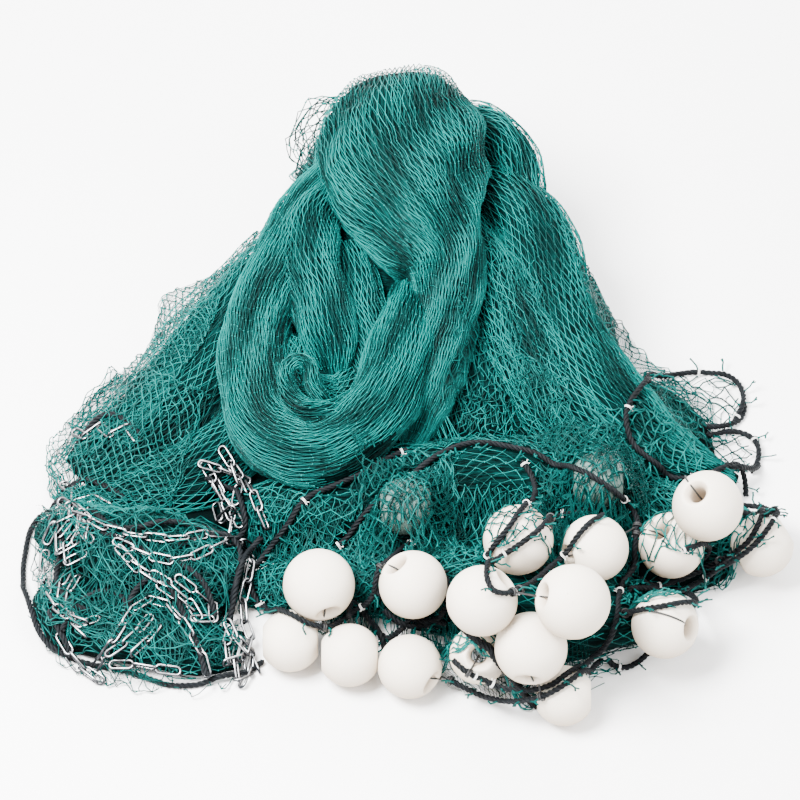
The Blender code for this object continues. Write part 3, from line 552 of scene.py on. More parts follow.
FOLDS = (
    Fold("hank", 5, 0.05, 2, 150, 3, Hang.GATHERED, 0.0013, 4.0, True, (
        (5, 468, 150, 45, 35), (2, 428, 196, 74, 56), (-2, 380, 210, 90, 66), (0, 325, 204, 92, 64),
        (18, 275, 186, 68, 58), (40, 235, 164, 45, 48), (44, 195, 142, 34, 42), (34, 150, 112, 31, 38),
        (18, 105, 82, 28, 30), (0, 65, 55, 16, 18),
    )),
    Fold("curl", 4, 0.06, 2, 116, 2, Hang.TIGHT, 0.0008, 1.0, True, (
        (15, 235, 125, 30, 34), (0, 165, 128, 36, 42), (-20, 95, 118, 36, 42), (-55, 50, 104, 36, 42),
        (-105, 30, 96, 36, 42), (-150, 60, 98, 35, 42), (-165, 115, 112, 34, 42),
        (-160, 175, 132, 34, 42), (-135, 245, 155, 34, 40), (-112, 306, 172, 27, 31),
        (-80, 350, 188, 20, 24),
    )),
    Fold("tongue", 3, 0.06, 2, 80, 2, Hang.GATHERED, 0.001, 1.0, True, (
        (-72, 330, 186, 22, 26), (-104, 286, 176, 30, 32), (-105, 235, 165, 34, 34),
        (-90, 185, 148, 34, 32), (-80, 155, 125, 28, 26), (-75, 135, 100, 14, 12),
    )),
    Fold("curl_end", 0, 0.0, 2, 36, 1, Hang.TIGHT, 0.001, 8.0, True, (
        (-115, 165, 120, 12, 14), (-130, 135, 110, 14, 16), (-120, 105, 100, 14, 16),
        (-90, 98, 94, 10, 12),
    )),
    Fold("roll", 4, 0.06, 2, 74, 2, Hang.GATHERED, 0.0013, 3.0, True, (
        (28, 400, 165, 24, 32), (64, 416, 177, 31, 41), (98, 408, 172, 32, 44), (120, 378, 154, 28, 38),
        (130, 342, 130, 20, 26),
    )),
    Fold("shoulder", 3, 0.07, 1, 80, 2, Hang.GATHERED, 0.0012, 1.0, True, (
        (70, 385, 125, 30, 34), (112, 345, 138, 42, 46), (140, 295, 128, 44, 46), (158, 242, 110, 44, 42),
        (180, 185, 92, 44, 40), (212, 132, 72, 44, 36), (255, 92, 52, 40, 30), (310, 62, 34, 30, 22),
        (355, 50, 20, 14, 14),
    )),
    Fold("inner_fold", 3, 0.07, 1, 76, 2, Hang.GATHERED, 0.0012, 1.0, True, (
        (66, 325, 125, 26, 30), (90, 262, 122, 38, 42), (118, 202, 104, 42, 42), (150, 142, 82, 44, 40),
        (195, 88, 60, 44, 36), (255, 45, 40, 36, 28),
    )),
    Fold("valley", 3, 0.06, 1, 56, 2, Hang.GATHERED, 0.0016, 1.0, True, (
        (55, 255, 90, 30, 30), (75, 195, 84, 38, 34), (85, 140, 70, 40, 32), (80, 90, 52, 34, 28),
    )),
    Fold("left_wing", 4, 0.07, 1, 70, 2, Hang.GATHERED, 0.0016, 1.0, True, (
        (-115, 335, 125, 24, 30), (-150, 275, 98, 42, 40), (-190, 215, 70, 54, 42),
        (-235, 152, 44, 62, 38), (-292, 98, 26, 58, 30), (-348, 60, 14, 34, 18),
    )),
    Fold("left_fold", 3, 0.07, 1, 54, 2, Hang.GATHERED, 0.0016, 1.0, True, (
        (-165, 130, 62, 32, 36), (-190, 80, 44, 38, 34), (-245, 45, 30, 38, 30), (-310, 30, 18, 32, 20),
        (-365, 28, 9, 20, 12),
    )),
    Fold("front_upper", 3, 0.07, 1, 44, 1, Hang.OPEN, 0.002, 2.0, True, (
        (-185, 5, 24, 24, 20), (-130, 0, 40, 44, 36), (-60, 0, 48, 50, 40), (15, 15, 54, 50, 42),
        (90, 30, 56, 50, 42), (165, 20, 52, 48, 40), (220, -5, 44, 44, 36), (265, -35, 30, 26, 24),
    )),
    Fold("front_lower", 3, 0.07, 1, 42, 1, Hang.OPEN, 0.002, -2.0, True, (
        (-170, -85, 8, 20, 12), (-115, -80, 20, 36, 26), (-30, -85, 30, 46, 36), (50, -108, 38, 46, 44),
        (120, -135, 44, 54, 50), (185, -140, 40, 52, 46), (240, -125, 22, 38, 30), (275, -120, 8, 18, 12),
    )),
    Fold("float_bed", 0, 0.0, 1, 24, 1, Hang.OPEN, 0.003, 0.0, False, (
        (0, -140, 1, 30, 5), (60, -166, 1, 40, 5), (130, -182, 1, 44, 6), (190, -180, 1, 30, 6),
        (222, -168, 1, 14, 5),
    )),
    Fold("lead_back", 3, 0.08, 1, 50, 1, Hang.OPEN, 0.003, 1.0, True, (
        (-392, 0, 6, 16, 12), (-352, -22, 18, 38, 28), (-295, -50, 26, 52, 34), (-225, -72, 26, 50, 34),
        (-175, -80, 18, 36, 26),
    )),
    Fold("lead_front", 3, 0.08, 1, 44, 1, Hang.OPEN, 0.003, -1.0, True, (
        (-388, -84, 4, 14, 8), (-352, -118, 12, 44, 22), (-295, -142, 16, 46, 26),
        (-228, -158, 12, 40, 22), (-172, -160, 5, 26, 12),
    )),
    Fold("right_end", 3, 0.07, 1, 56, 2, Hang.GATHERED, 0.0016, 1.0, True, (
        (255, 15, 24, 34, 30), (310, -10, 22, 42, 30), (355, -15, 14, 34, 22), (385, -20, 6, 18, 12),
    )),
    Fold("right_low", 0, 0.0, 1, 24, 1, Hang.OPEN, 0.003, 0.0, True, (
        (255, -55, 6, 30, 14), (305, -60, 6, 26, 14), (345, -48, 3, 14, 8),
    )),
    Fold("back_drape", 6, 0.04, 1, 84, 2, Hang.GATHERED, 0.0016, 0.0, True, (
        (5, 420, 150, 85, 44), (4, 458, 110, 108, 42), (2, 490, 64, 120, 38), (0, 512, 20, 126, 32),
        (0, 522, -20, 128, 28),
    )),
    Fold("left_veil", 4, 0.06, 1, 50, 1, Hang.GATHERED, 0.002, 0.0, False, (
        (-125, 335, 70, 40, 65), (-172, 285, 35, 54, 66), (-222, 225, 15, 58, 56), (-276, 160, 5, 48, 40),
        (-322, 110, 2, 44, 26), (-362, 72, 1, 28, 12),
    )),
    Fold("loop_net_large", 0, 0.0, 1, 14, 1, Hang.SLACK, 0.002, 0.0, False, (
        (240, 140, 1, 50, 3), (285, 160, 1, 58, 3), (325, 178, 1, 46, 3), (364, 190, 1, 24, 3),
    )),
    Fold("loop_net_small", 0, 0.0, 1, 8, 1, Hang.SLACK, 0.002, 0.0, False, (
        (330, 105, 1, 24, 3), (358, 114, 1, 28, 3), (380, 116, 1, 16, 3),
    )),
    Fold("ear", 0, 0.0, 1, 22, 2, Hang.OPEN, 0.004, 6.0, False, (
        (-62, 440, 195, 16, 10), (-88, 422, 188, 32, 12), (-96, 385, 178, 28, 10), (-85, 365, 165, 12, 8),
    )),
)

# Netting packed out of sight below the folds: x, y, half widths along X and Y, height, in millimetres.
MOUNDS = (
    (-5, 335, 135, 138, 202), (0, 440, 115, 95, 95), (-80, 170, 150, 150, 125), (95, 235, 145, 190, 120),
    (160, 110, 180, 130, 60), (20, 20, 270, 80, 50), (-284, -88, 100, 84, 36), (-225, 0, 85, 45, 30),
    (110, -50, 160, 55, 50), (275, -35, 70, 55, 30),
)

# Which folds' twine makes up each piece, after how thick it looks beside the tightest.
TWINE_PIECES = {
    "hank_twine": (1.0, ("hank",)),
    "coil_twine": (1.0, ("curl", "tongue", "curl_end")),
    "back_twine": (1.0, ("roll", "back_drape")),
    "ear_twine": (1.6, ("ear",)),
    "right_twine": (1.0, ("shoulder", "inner_fold", "valley", "right_end", "right_low")),
    "left_twine": (1.0, ("left_wing", "left_fold", "left_veil")),
    "front_twine": (1.2, ("front_upper", "front_lower", "float_bed")),
    "lead_twine": (1.2, ("lead_back", "lead_front", "loop_net_large", "loop_net_small")),
}

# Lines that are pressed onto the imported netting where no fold's skin shows.
LININGS = (
    Fold("hollow_floor", 0, 0.0, 1, 44, 2, Hang.GATHERED, 0.002, 4.0, False, (
        (-140, 190, 122, 24, 14), (-136, 140, 118, 26, 14), (-112, 104, 112, 26, 14),
        (-74, 96, 106, 26, 14), (-46, 122, 108, 22, 14),
    )),
    Fold("right_gap", 0, 0.0, 1, 90, 1, Hang.GATHERED, 0.001, 0.0, False, (
        (80, 300, 120, 60, 40), (90, 220, 110, 66, 40), (100, 140, 85, 70, 40), (100, 70, 65, 70, 36),
    )),
    Fold("back_left_gap", 0, 0.0, 1, 54, 1, Hang.GATHERED, 0.002, 0.0, False, (
        (-60, 390, 155, 55, 20), (-79, 409, 105, 68, 20), (-91, 421, 55, 74, 20), (-93, 423, 8, 76, 20),
    )),
    Fold("back_right_gap", 0, 0.0, 1, 56, 1, Hang.GATHERED, 0.002, 0.0, False, (
        (100, 375, 120, 50, 20), (118, 385, 90, 65, 20), (130, 392, 50, 78, 20), (134, 400, 8, 82, 20),
    )),
)

# A fold that bridges the hollow between the tongue and the hank, and the twisted end inside the coil.
BRIDGES = (
    Fold("inner_sheet", 5, 0.05, 1, 70, 2, Hang.GATHERED, 0.001, 0.5, True, (
        (-78, 272, 158, 30, 14), (-66, 229, 146, 36, 16), (-54, 190, 130, 36, 16),
        (-38, 155, 116, 32, 15), (-24, 122, 104, 24, 12),
    )),
    Fold("end_twist", 2, 0.10, 1, 25, 2, Hang.TIGHT, 0.0012, 18.0, True, (
        (-54, 78, 128, 12, 12), (-78, 62, 131, 12, 12), (-103, 58, 135, 11, 11), (-119, 68, 140, 10, 10),
        (-128, 85, 148, 9, 9), (-127, 99, 157, 8, 8), (-115, 107, 160, 8, 8), (-103, 102, 153, 8, 8),
        (-99, 85, 141, 9, 9), (-89, 72, 131, 10, 10),
    )),
)


# ---- tables, sway and tubes


def smooth_table(rows: Array, steps: int) -> Array:
    """Return rows with more rows along a smooth curve through them.

    Args:
        rows: The table, one row for each point.
        steps: How many rows stand in for each span.

    Returns:
        The longer table, which passes through every row given.
    """
    last = len(rows) - 1
    share = np.arange(steps)[:, None] / steps
    made = []
    for index in range(last):
        before, start, end, after = (rows[min(max(place, 0), last)] for place in range(index - 1, index + 3))
        linear = (end - before) * share
        square = (2.0 * before - 5.0 * start + 4.0 * end - after) * share**2
        cube = (3.0 * start - before - 3.0 * end + after) * share**3
        made.append(start + 0.5 * (linear + square + cube))
    made.append(rows[last:])
    return np.vstack(made)


def from_table(places: Sequence, shift: Sequence[float] = (0.0, 0.0)) -> Array:
    """Return places of a table as places on the floor of the frame.

    Args:
        places: The table's places, in millimetres.
        shift: How far they are all moved, in metres.

    Returns:
        The places in metres.
    """
    return np.array(places) / TABLE_UNITS + shift - np.array(HEAP_CENTRE)[:2]


def unit(vectors: Array) -> Array:
    """Return vectors at length 1."""
    return vectors / np.maximum(np.linalg.norm(vectors, axis=-1, keepdims=True), 1e-9)


def runs_along(points: Array) -> Array:
    """Return how far along a line each of its points is."""
    return np.concatenate(([0.0], np.cumsum(np.linalg.norm(np.diff(points, axis=0), axis=1))))


def spaced(points: Array, step: float) -> Array:
    """Return points at even steps along a line.

    Args:
        points: The line's points.
        step: The distance wanted between them.

    Returns:
        The new points, from the line's start to its end.
    """
    fine = smooth_table(points, 8)
    run = runs_along(fine)
    count = max(2, int(round(run[-1] / step)) + 1)
    places = np.linspace(0.0, run[-1], count)
    return np.stack([np.interp(places, run, fine[:, axis]) for axis in range(3)], axis=1)


def travelling_frames(points: Array) -> tuple[Array, Array, Array]:
    """Return directions that follow a line without turning about it.

    Args:
        points: The line's points.

    Returns:
        The directions along, across and over the line at each point.
    """
    along = unit(np.gradient(points, axis=0))
    across = np.zeros_like(along)
    first = np.cross(along[0], (0.0, 0.0, 1.0))
    across[0] = unit(first if np.linalg.norm(first) > 0.1 else np.cross(along[0], (1.0, 0.0, 0.0)))
    for index in range(1, len(points)):
        carried = across[index - 1] - along[index] * np.dot(across[index - 1], along[index])
        across[index] = unit(carried)
    return along, across, np.cross(along, across)


@dataclass
class Sway:
    """Smooth seeded disorder in space, about 1 strong.

    Attributes:
        seed: What the disorder is drawn from.
        shortest: The shortest wave's length.
        longest: The longest wave's length.
        waves: How many waves are laid over each other.
    """

    seed: int
    shortest: float = 0.020
    longest: float = 0.120
    waves: int = 12

    def __post_init__(self) -> None:
        """Draw the waves."""
        luck = np.random.default_rng(self.seed)
        lengths = np.geomspace(self.shortest, self.longest, self.waves)
        self.turns = unit(luck.normal(size=(self.waves, 3))) * (math.tau / lengths)[:, None]
        self.phases = luck.uniform(0.0, math.tau, self.waves)
        pushes = luck.normal(size=(self.waves, 3)) * (lengths**0.6)[:, None]
        self.pushes = pushes / np.sqrt((pushes**2).sum() / 6.0)

    def at(self, points: Array) -> Array:
        """Return the push at each point."""
        return np.sin(points @ self.turns.T + self.phases) @ self.pushes


def node_group(kinds: dict[str, str], constants: dict, links: Sequence[tuple]) -> NodeTree:
    """Return a node group that takes a geometry, changes it and gives it back.

    Args:
        kinds: The type of each node between "start" and "end", without its "GeometryNode", by a short name.
        constants: What is set in a socket, by (node, socket).
        links: One (node, output, next node, input) for each link.

    Returns:
        The group.
    """
    tree = bpy.data.node_groups.new("twine", "GeometryNodeTree")
    for way in ("INPUT", "OUTPUT"):
        tree.interface.new_socket("Geometry", in_out=way, socket_type="NodeSocketGeometry")
    nodes = {name: tree.nodes.new("GeometryNode" + kind) for name, kind in kinds.items()}
    nodes |= {"start": tree.nodes.new("NodeGroupInput"), "end": tree.nodes.new("NodeGroupOutput")}
    for (name, socket), setting in constants.items():
        nodes[name].inputs[socket].default_value = setting
    for name, output, following, into in links:
        tree.links.new(nodes[name].outputs[output], nodes[following].inputs[into])
    return tree


@cache
def tube_group(radius: float, sides: int) -> NodeTree:
    """Return the node group that turns lines of points into round twine.

    Args:
        radius: The twine's radius.
        sides: How many sides its section has; more than 4 close its ends.

    Returns:
        The group; it also stores "round", the share of the way round the twine.
    """
    return node_group(
        {
            "line": "MeshToCurve", "section": "CurvePrimitiveCircle", "share": "SplineParameter",
            "marked": "StoreNamedAttribute", "tube": "CurveToMesh",
        },
        {
            ("section", "Resolution"): sides, ("section", "Radius"): radius,
            ("marked", "Name"): "round", ("tube", "Fill Caps"): sides > 4,
        },
        (
            ("start", 0, "line", 0), ("section", 0, "marked", 0), ("share", "Factor", "marked", "Value"),
            ("line", 0, "tube", "Curve"), ("marked", 0, "tube", "Profile Curve"), ("tube", 0, "end", 0),
        ),
    )


@cache
def knot_group(radius: float) -> NodeTree:
    """Return the node group that puts a small knot at each point.

    Args:
        radius: A knot's radius.

    Returns:
        The node group; the same radius gives the same group.
    """
    return node_group(
        {
            "dots": "MeshToPoints", "knot": "MeshUVSphere", "put": "InstanceOnPoints",
            "real": "RealizeInstances",
        },
        {("knot", "Segments"): 4, ("knot", "Rings"): 2, ("knot", "Radius"): radius},
        (
            ("start", 0, "dots", 0), ("dots", 0, "put", "Points"), ("knot", 0, "put", "Instance"),
            ("put", 0, "real", 0), ("real", 0, "end", 0),
        ),
    )


@dataclass
class Strands:
    """Lines of twine, kept as points and edges until they are made solid.

    Attributes:
        name: The name of the piece that they become.
        radius: The twine's radius.
        sides: How many sides its section has.
        knot: The radius of a knot, or 0 where the knots don't show.
    """

    name: str
    radius: float
    sides: int = 3
    knot: float = 0.0
    points: list[Array] = field(default_factory=list)
    edges: list[Array] = field(default_factory=list)
    tones: list[Array] = field(default_factory=list)
    runs: list[Array] = field(default_factory=list)
    knots: list[Array] = field(default_factory=list)
    knot_tones: list[Array] = field(default_factory=list)
    count: int = 0

    def add(self, points: Array, edges: Array, tones: Array, runs: Array) -> None:
        """Keep more lines.

        Args:
            points: Their points.
            edges: Pairs of point numbers.
            tones: How bright the twine is at each point, from 0 to 1.
            runs: How far along its line each point is.
        """
        rested = np.maximum(points[:, 2], self.radius)
        self.points.append(np.column_stack([points[:, :2], rested]))
        self.edges.append(edges + self.count)
        self.tones.append(tones)
        self.runs.append(runs)
        self.count += len(points)

    def add_line(self, points: Array, tone: float) -> None:
        """Keep one line of points in one tone.

        Args:
            points: The line's points.
            tone: How bright it is.
        """
        steps = np.arange(len(points))
        edges = np.stack([steps[:-1], steps[1:]], axis=1)
        self.add(points, edges, np.full(len(points), tone), runs_along(points))

    def add_knots(self, points: Array, tones: Array) -> None:
        """Keep the places of more knots."""
        self.knots.append(points)
        self.knot_tones.append(tones)

    def _solid(
        self, points: Array, edges: Array, numbers: dict, group: NodeTree
    ) -> Mesh:
        """Return points and edges put through a node group.

        Args:
            points: The points.
            edges: The edges between them.
            numbers: The attributes to carry, by name.
            group: The group that makes them solid.

        Returns:
            The finished mesh.
        """
        wire = bpy.data.meshes.new("wire")
        wire.from_pydata(points.tolist(), edges.tolist(), [])
        for key, values in numbers.items():
            wire.attributes.new(key, "FLOAT", "POINT").data.foreach_set("value", values.astype(np.float32))
        holder = bpy.data.objects.new("holder", wire)
        bpy.context.scene.collection.objects.link(holder)
        holder.modifiers.new("solid", "NODES").node_group = group
        graph = bpy.context.evaluated_depsgraph_get()
        mesh = bpy.data.meshes.new_from_object(holder.evaluated_get(graph))
        bpy.data.objects.remove(holder)
        bpy.data.meshes.remove(wire)
        return mesh

    def add_piece(
        self, material: Material, slot: str = "green_twine", nodes: Sequence[str] = ("netting",)
    ) -> None:
        """Make the lines and knots solid and add them as one piece.

        Args:
            material: The twine's material.
            nodes: The solids that the piece stands for.
        """
        points = np.vstack(self.points)
        edges = np.vstack(self.edges)
        numbers = {"tone": np.concatenate(self.tones), "along": np.concatenate(self.runs)}
        meshes = [self._solid(points, edges, numbers, tube_group(self.radius, self.sides))]
        if self.knot and self.knots:
            tones = {"tone": np.concatenate(self.knot_tones)}
            alone = np.zeros((0, 2), dtype=int)
            meshes.append(self._solid(np.vstack(self.knots), alone, tones, knot_group(self.knot)))
        bm = bmesh.new()
        for mesh in meshes:
            bm.from_mesh(mesh)
            bpy.data.meshes.remove(mesh)
        add_piece(self.name, smooth_mesh(self.name, bm), material, nodes)


def flat_grid(
    bm: BMesh, cells: tuple[int, int], size: tuple[float, float]
) -> list[BMVert]:
    """Add a flat grid, 1 by 1 about the origin, with a UV map in the metres that it is to measure.

    Args:
        bm: The mesh that takes it.
        cells: How many faces it has along X and along Y.
        size: What it is to measure along X and along Y.

    Returns:
        Its points.
    """
    uv = bm.loops.layers.uv.get("UVMap") or bm.loops.layers.uv.new("UVMap")
    made = bmesh.ops.create_grid(bm, x_segments=cells[0], y_segments=cells[1], size=0.5)["verts"]
    for loop in once_each(loop for vert in made for loop in vert.link_loops):
        place = loop.vert.co
        loop[uv].uv = ((place.x + 0.5) * size[0], (place.y + 0.5) * size[1])
    return made


def once_each(elements: Iterable) -> list:
    """Return mesh elements once each, in the order in which they come, so that every run is alike."""
    return list(dict.fromkeys(elements))


def smooth_mesh(name: str, bm: BMesh) -> Mesh:
    """Return a smoothly shaded mesh made from a bmesh, which is freed.

    Args:
        name: The mesh's name.
        bm: What it is made from.

    Returns:
        The mesh.
    """
    mesh = bpy.data.meshes.new(name)
    bm.to_mesh(mesh)
    bm.free()
    mesh.shade_smooth()
    return mesh


def shown(name: str, mesh: Mesh, material: Material) -> Object:
    """Return an object at the origin that shows a mesh in one material.

    Args:
        name: The object's name.
        mesh: Its mesh.
        material: Its material.

    Returns:
        The object.
    """
    mesh.materials.clear()
    mesh.materials.append(material)
    mesh.name = name
    obj = bpy.data.objects.new(name, mesh)
    bpy.context.scene.collection.objects.link(obj)
    return obj


def add_piece(
    name: str, mesh: Mesh, material: Material, nodes: Sequence[str]
) -> Object:
    """Add a piece: hang it on the body, give it its finish and hide the solids that it stands for.

    Args:
        name: The piece's name.
        mesh: Its shape.
        material: Its finish.
        nodes: The solids that it stands for.

    Returns:
        The piece.
    """
    obj = shown(name, mesh, material)
    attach(obj, BODY)
    if nodes:
        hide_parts(*nodes)
    log.info("%s: %d faces", name, len(mesh.polygons))
    return obj


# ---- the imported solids


def merged(name: str) -> BMesh:
    """Return a solid's mesh with its doubled points merged.

    Args:
        name: The solid's name.

    Returns:
        The mesh.
    """
    bm = bmesh.new()
    bm.from_mesh(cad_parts[name].data)
    bmesh.ops.remove_doubles(bm, verts=bm.verts, dist=1e-6)
    bm.verts.ensure_lookup_table()
    return bm


@dataclass(frozen=True)
class Ball:
    """One ball float as it lies: its centre, the direction of its bore and its diameter."""

    name: str
    centre: Array
    axis: Array
    diameter: float


@dataclass(frozen=True)
class Line:
    """One rope or chain as it lies: the points of its centre line and its width."""

    name: str
    points: Array
    width: float

    def place(self, share: float) -> tuple[Array, Array]:
        """Return the point at a share of the line's length, and the direction along it there.

        Args:
            share: How far along it is, from 0 to 1.

        Returns:
            The point and the direction.
        """
        fine = spaced(self.points, 0.002)
        index = min(int(share * (len(fine) - 1)), len(fine) - 2)
        return fine[index], unit(fine[index + 1] - fine[index])


class Heap:
    """The solids of the heap: where its lines and floats lie, how deep points are and how high it is."""

    def __init__(self) -> None:
        """Read every solid once."""
        names = list(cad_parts)
        routes = [name for name in names if "_line_" in name or "_chain_" in name]
        self.balls = [self._ball(name) for name in names if name.startswith("float_") and name not in routes]
        self.lines = [self._line(name) for name in routes]
        self.rope_lines = [line for line in self.lines if "_chain_" not in line.name]
        self.chain_lines = [line for line in self.lines if "_chain_" in line.name]
        skin = merged("netting")
        self.skin = BVHTree.FromBMesh(skin)
        skin.free()
        fine = np.vstack([spaced(line.points, 0.003) for line in self.rope_lines])
        self.rope_heights = fine[:, 2]
        self.ropes = KDTree(len(fine))
        for index, (x, y, _) in enumerate(fine):
            self.ropes.insert((x, y, 0.0), index)
        self.ropes.balance()

    def _ball(self, name: str) -> Ball:
        """Return a float's centre, bore and size from its solid.

        Args:
            name: The solid's name.

        Returns:
            The float's measures.
        """
        bm = merged(name)
        points = np.array([vert.co[:] for vert in bm.verts])
        bm.free()
        centre = points.mean(axis=0)
        values, vectors = np.linalg.eigh(np.cov((points - centre).T))
        gaps = [min(abs(values[i] - values[j]) for j in range(3) if j != i) for i in range(3)]
        axis = vectors[:, int(np.argmax(gaps))]
        radius = np.linalg.norm(points - centre, axis=1).max()
        return Ball(name, centre, axis if axis[1] < 0.0 else -axis, 2.0 * radius)

    def _line(self, name: str) -> Line:
        """Return a line's centre points and width, ring by ring from one end of its solid.

        Args:
            name: The solid's name.

        Returns:
            The line's measures.
        """
        bm = merged(name)
        bmesh.ops.dissolve_limit(bm, angle_limit=0.0005, verts=[], edges=bm.edges)
        caps = [face for face in bm.faces if len(face.verts) >= 6]
        start = min(caps, key=lambda face: face.calc_center_median().x)
        ring = list(start.verts)
        seen = set(ring)
        centres = []
        widths = []
        while ring:
            middle = sum((vert.co for vert in ring), Vector()) / len(ring)
            centres.append(middle)
            widths.append(2.0 * sum((vert.co - middle).length for vert in ring) / len(ring))
            following = once_each(edge.other_vert(vert) for vert in ring for edge in vert.link_edges)
            ring = [vert for vert in following if vert not in seen]
            seen.update(ring)
        bm.free()
        return Line(name, np.array([centre[:] for centre in centres]), float(np.median(widths)))

    def depths(self, points: Array) -> Array:
        """Return how far each point stands out of the netting; below 0 is inside it.

        Args:
            points: The points, a row each.

        Returns:
            A depth for each point.
        """
        found = np.empty(len(points))
        for index, point in enumerate(points):
            near, normal, _, far = self.skin.find_nearest(Vector(point))
            found[index] = far if (Vector(point) - near).dot(normal) >= 0.0 else -far
        return found

    def clear_of_floats(self, points: Array, margin: float) -> Array:
        """Return which points aren't inside a float by more than a margin.

        Args:
            points: The points, a row each.
            margin: How far inside is let pass.

        Returns:
            True for each point that is clear.
        """
        clear = np.ones(len(points), dtype=bool)
        for ball in self.balls:
            clear &= np.linalg.norm(points - ball.centre, axis=1) > ball.diameter / 2.0 - margin
        return clear

    def clear_of_ropes(self, points: Array, margin: float) -> Array:
        """Return which points don't lie in a rope or on top of one.

        Args:
            points: The points.
            margin: How far to each side a rope pushes the twine away.

        Returns:
            True for each point that is clear.
        """
        clear = np.ones(len(points), dtype=bool)
        for index, (x, y, z) in enumerate(points):
            _, found, far = self.ropes.find((x, y, 0.0))
            if far < margin and -0.002 < z - self.rope_heights[found] < 0.03:
                clear[index] = False
        return clear

    def rope_beside(self, place: Array) -> tuple[Array, Array]:
        """Return where a rope is nearest to a place.

        Args:
            place: The place.

        Returns:
            The point of the rope's centre line, and the direction along it there.
        """
        best = (math.inf, place, place)
        for line in self.rope_lines:
            fine = spaced(line.points, 0.002)
            far = np.linalg.norm(fine - place, axis=1)
            index = int(np.argmin(far))
            if far[index] < best[0]:
                along = unit(fine[min(index + 1, len(fine) - 1)] - fine[max(index - 1, 0)])
                best = (float(far[index]), fine[index], along)
        return best[1], best[2]

    def laid(self, places: Array, above: float, over: Sequence[str]) -> Array:
        """Return the points of a run laid over the heap.

        Args:
            places: Its places on the floor.
            above: How far its middle lies above what carries it.
            over: The floats that it passes over.

        Returns:
            The points, close together.
        """
        plan = spaced(np.column_stack([places, np.zeros(len(places))]), 0.008)
        heights = np.array([self.top(x, y, over) for x, y, _ in plan])
        # It bridges hollows: each point takes the highest of five neighbours, then their mean.
        padded = np.pad(heights, 2, mode="edge")
        wide = np.maximum.reduce([padded[start:start + len(heights)] for start in range(5)])
        smooth = np.convolve(np.pad(wide, 2, mode="edge"), np.full(5, 0.2), mode="valid")
        plan[:, 2] = np.maximum(smooth + above, abs(above))
        for ball in self.balls:
            out = plan - ball.centre
            far = np.linalg.norm(out, axis=1, keepdims=True)
            reach = ball.diameter / 2.0 + abs(above)
            plan = np.where(far < reach, ball.centre + out / far * reach, plan)
        plan[:, 2] = np.maximum(plan[:, 2], abs(above))
        return plan

    def named(self, name: str) -> Ball | Line:
        """Return the float, rope or chain of a name."""
        return next(found for found in (*self.balls, *self.lines) if found.name == name)

    def snapped(self, points: Array, out: float) -> tuple[Array, Array]:
        """Return points moved onto the netting's skin.

        Args:
            points: The points.
            out: How far outside the skin they end up.

        Returns:
            The moved points, and how far each was from the skin.
        """
        moved = np.empty_like(points)
        gaps = np.empty(len(points))
        for index, point in enumerate(points):
            near, normal, _, far = self.skin.find_nearest(Vector(point))
            moved[index] = near + normal * out
            gaps[index] = far
        return moved, gaps

    def top(self, x: float, y: float, over: Sequence[str]) -> float:
        """Return how high the netting is at a place, or 0 beside it.

        Args:
            x: The place along X.
            y: The place along Y.
            over: The floats that count as well.

        Returns:
            The height.
        """
        hit = self.skin.ray_cast(Vector((x, y, 1.0)), Vector((0.0, 0.0, -1.0)))[0]
        high = hit.z if hit else 0.0
        for ball in self.balls:
            if ball.name in over:
                room = (ball.diameter / 2.0) ** 2 - (x - ball.centre[0]) ** 2 - (y - ball.centre[1]) ** 2
                if room > 0.0:
                    high = max(high, ball.centre[2] + math.sqrt(room))
        return high


# ---- netting


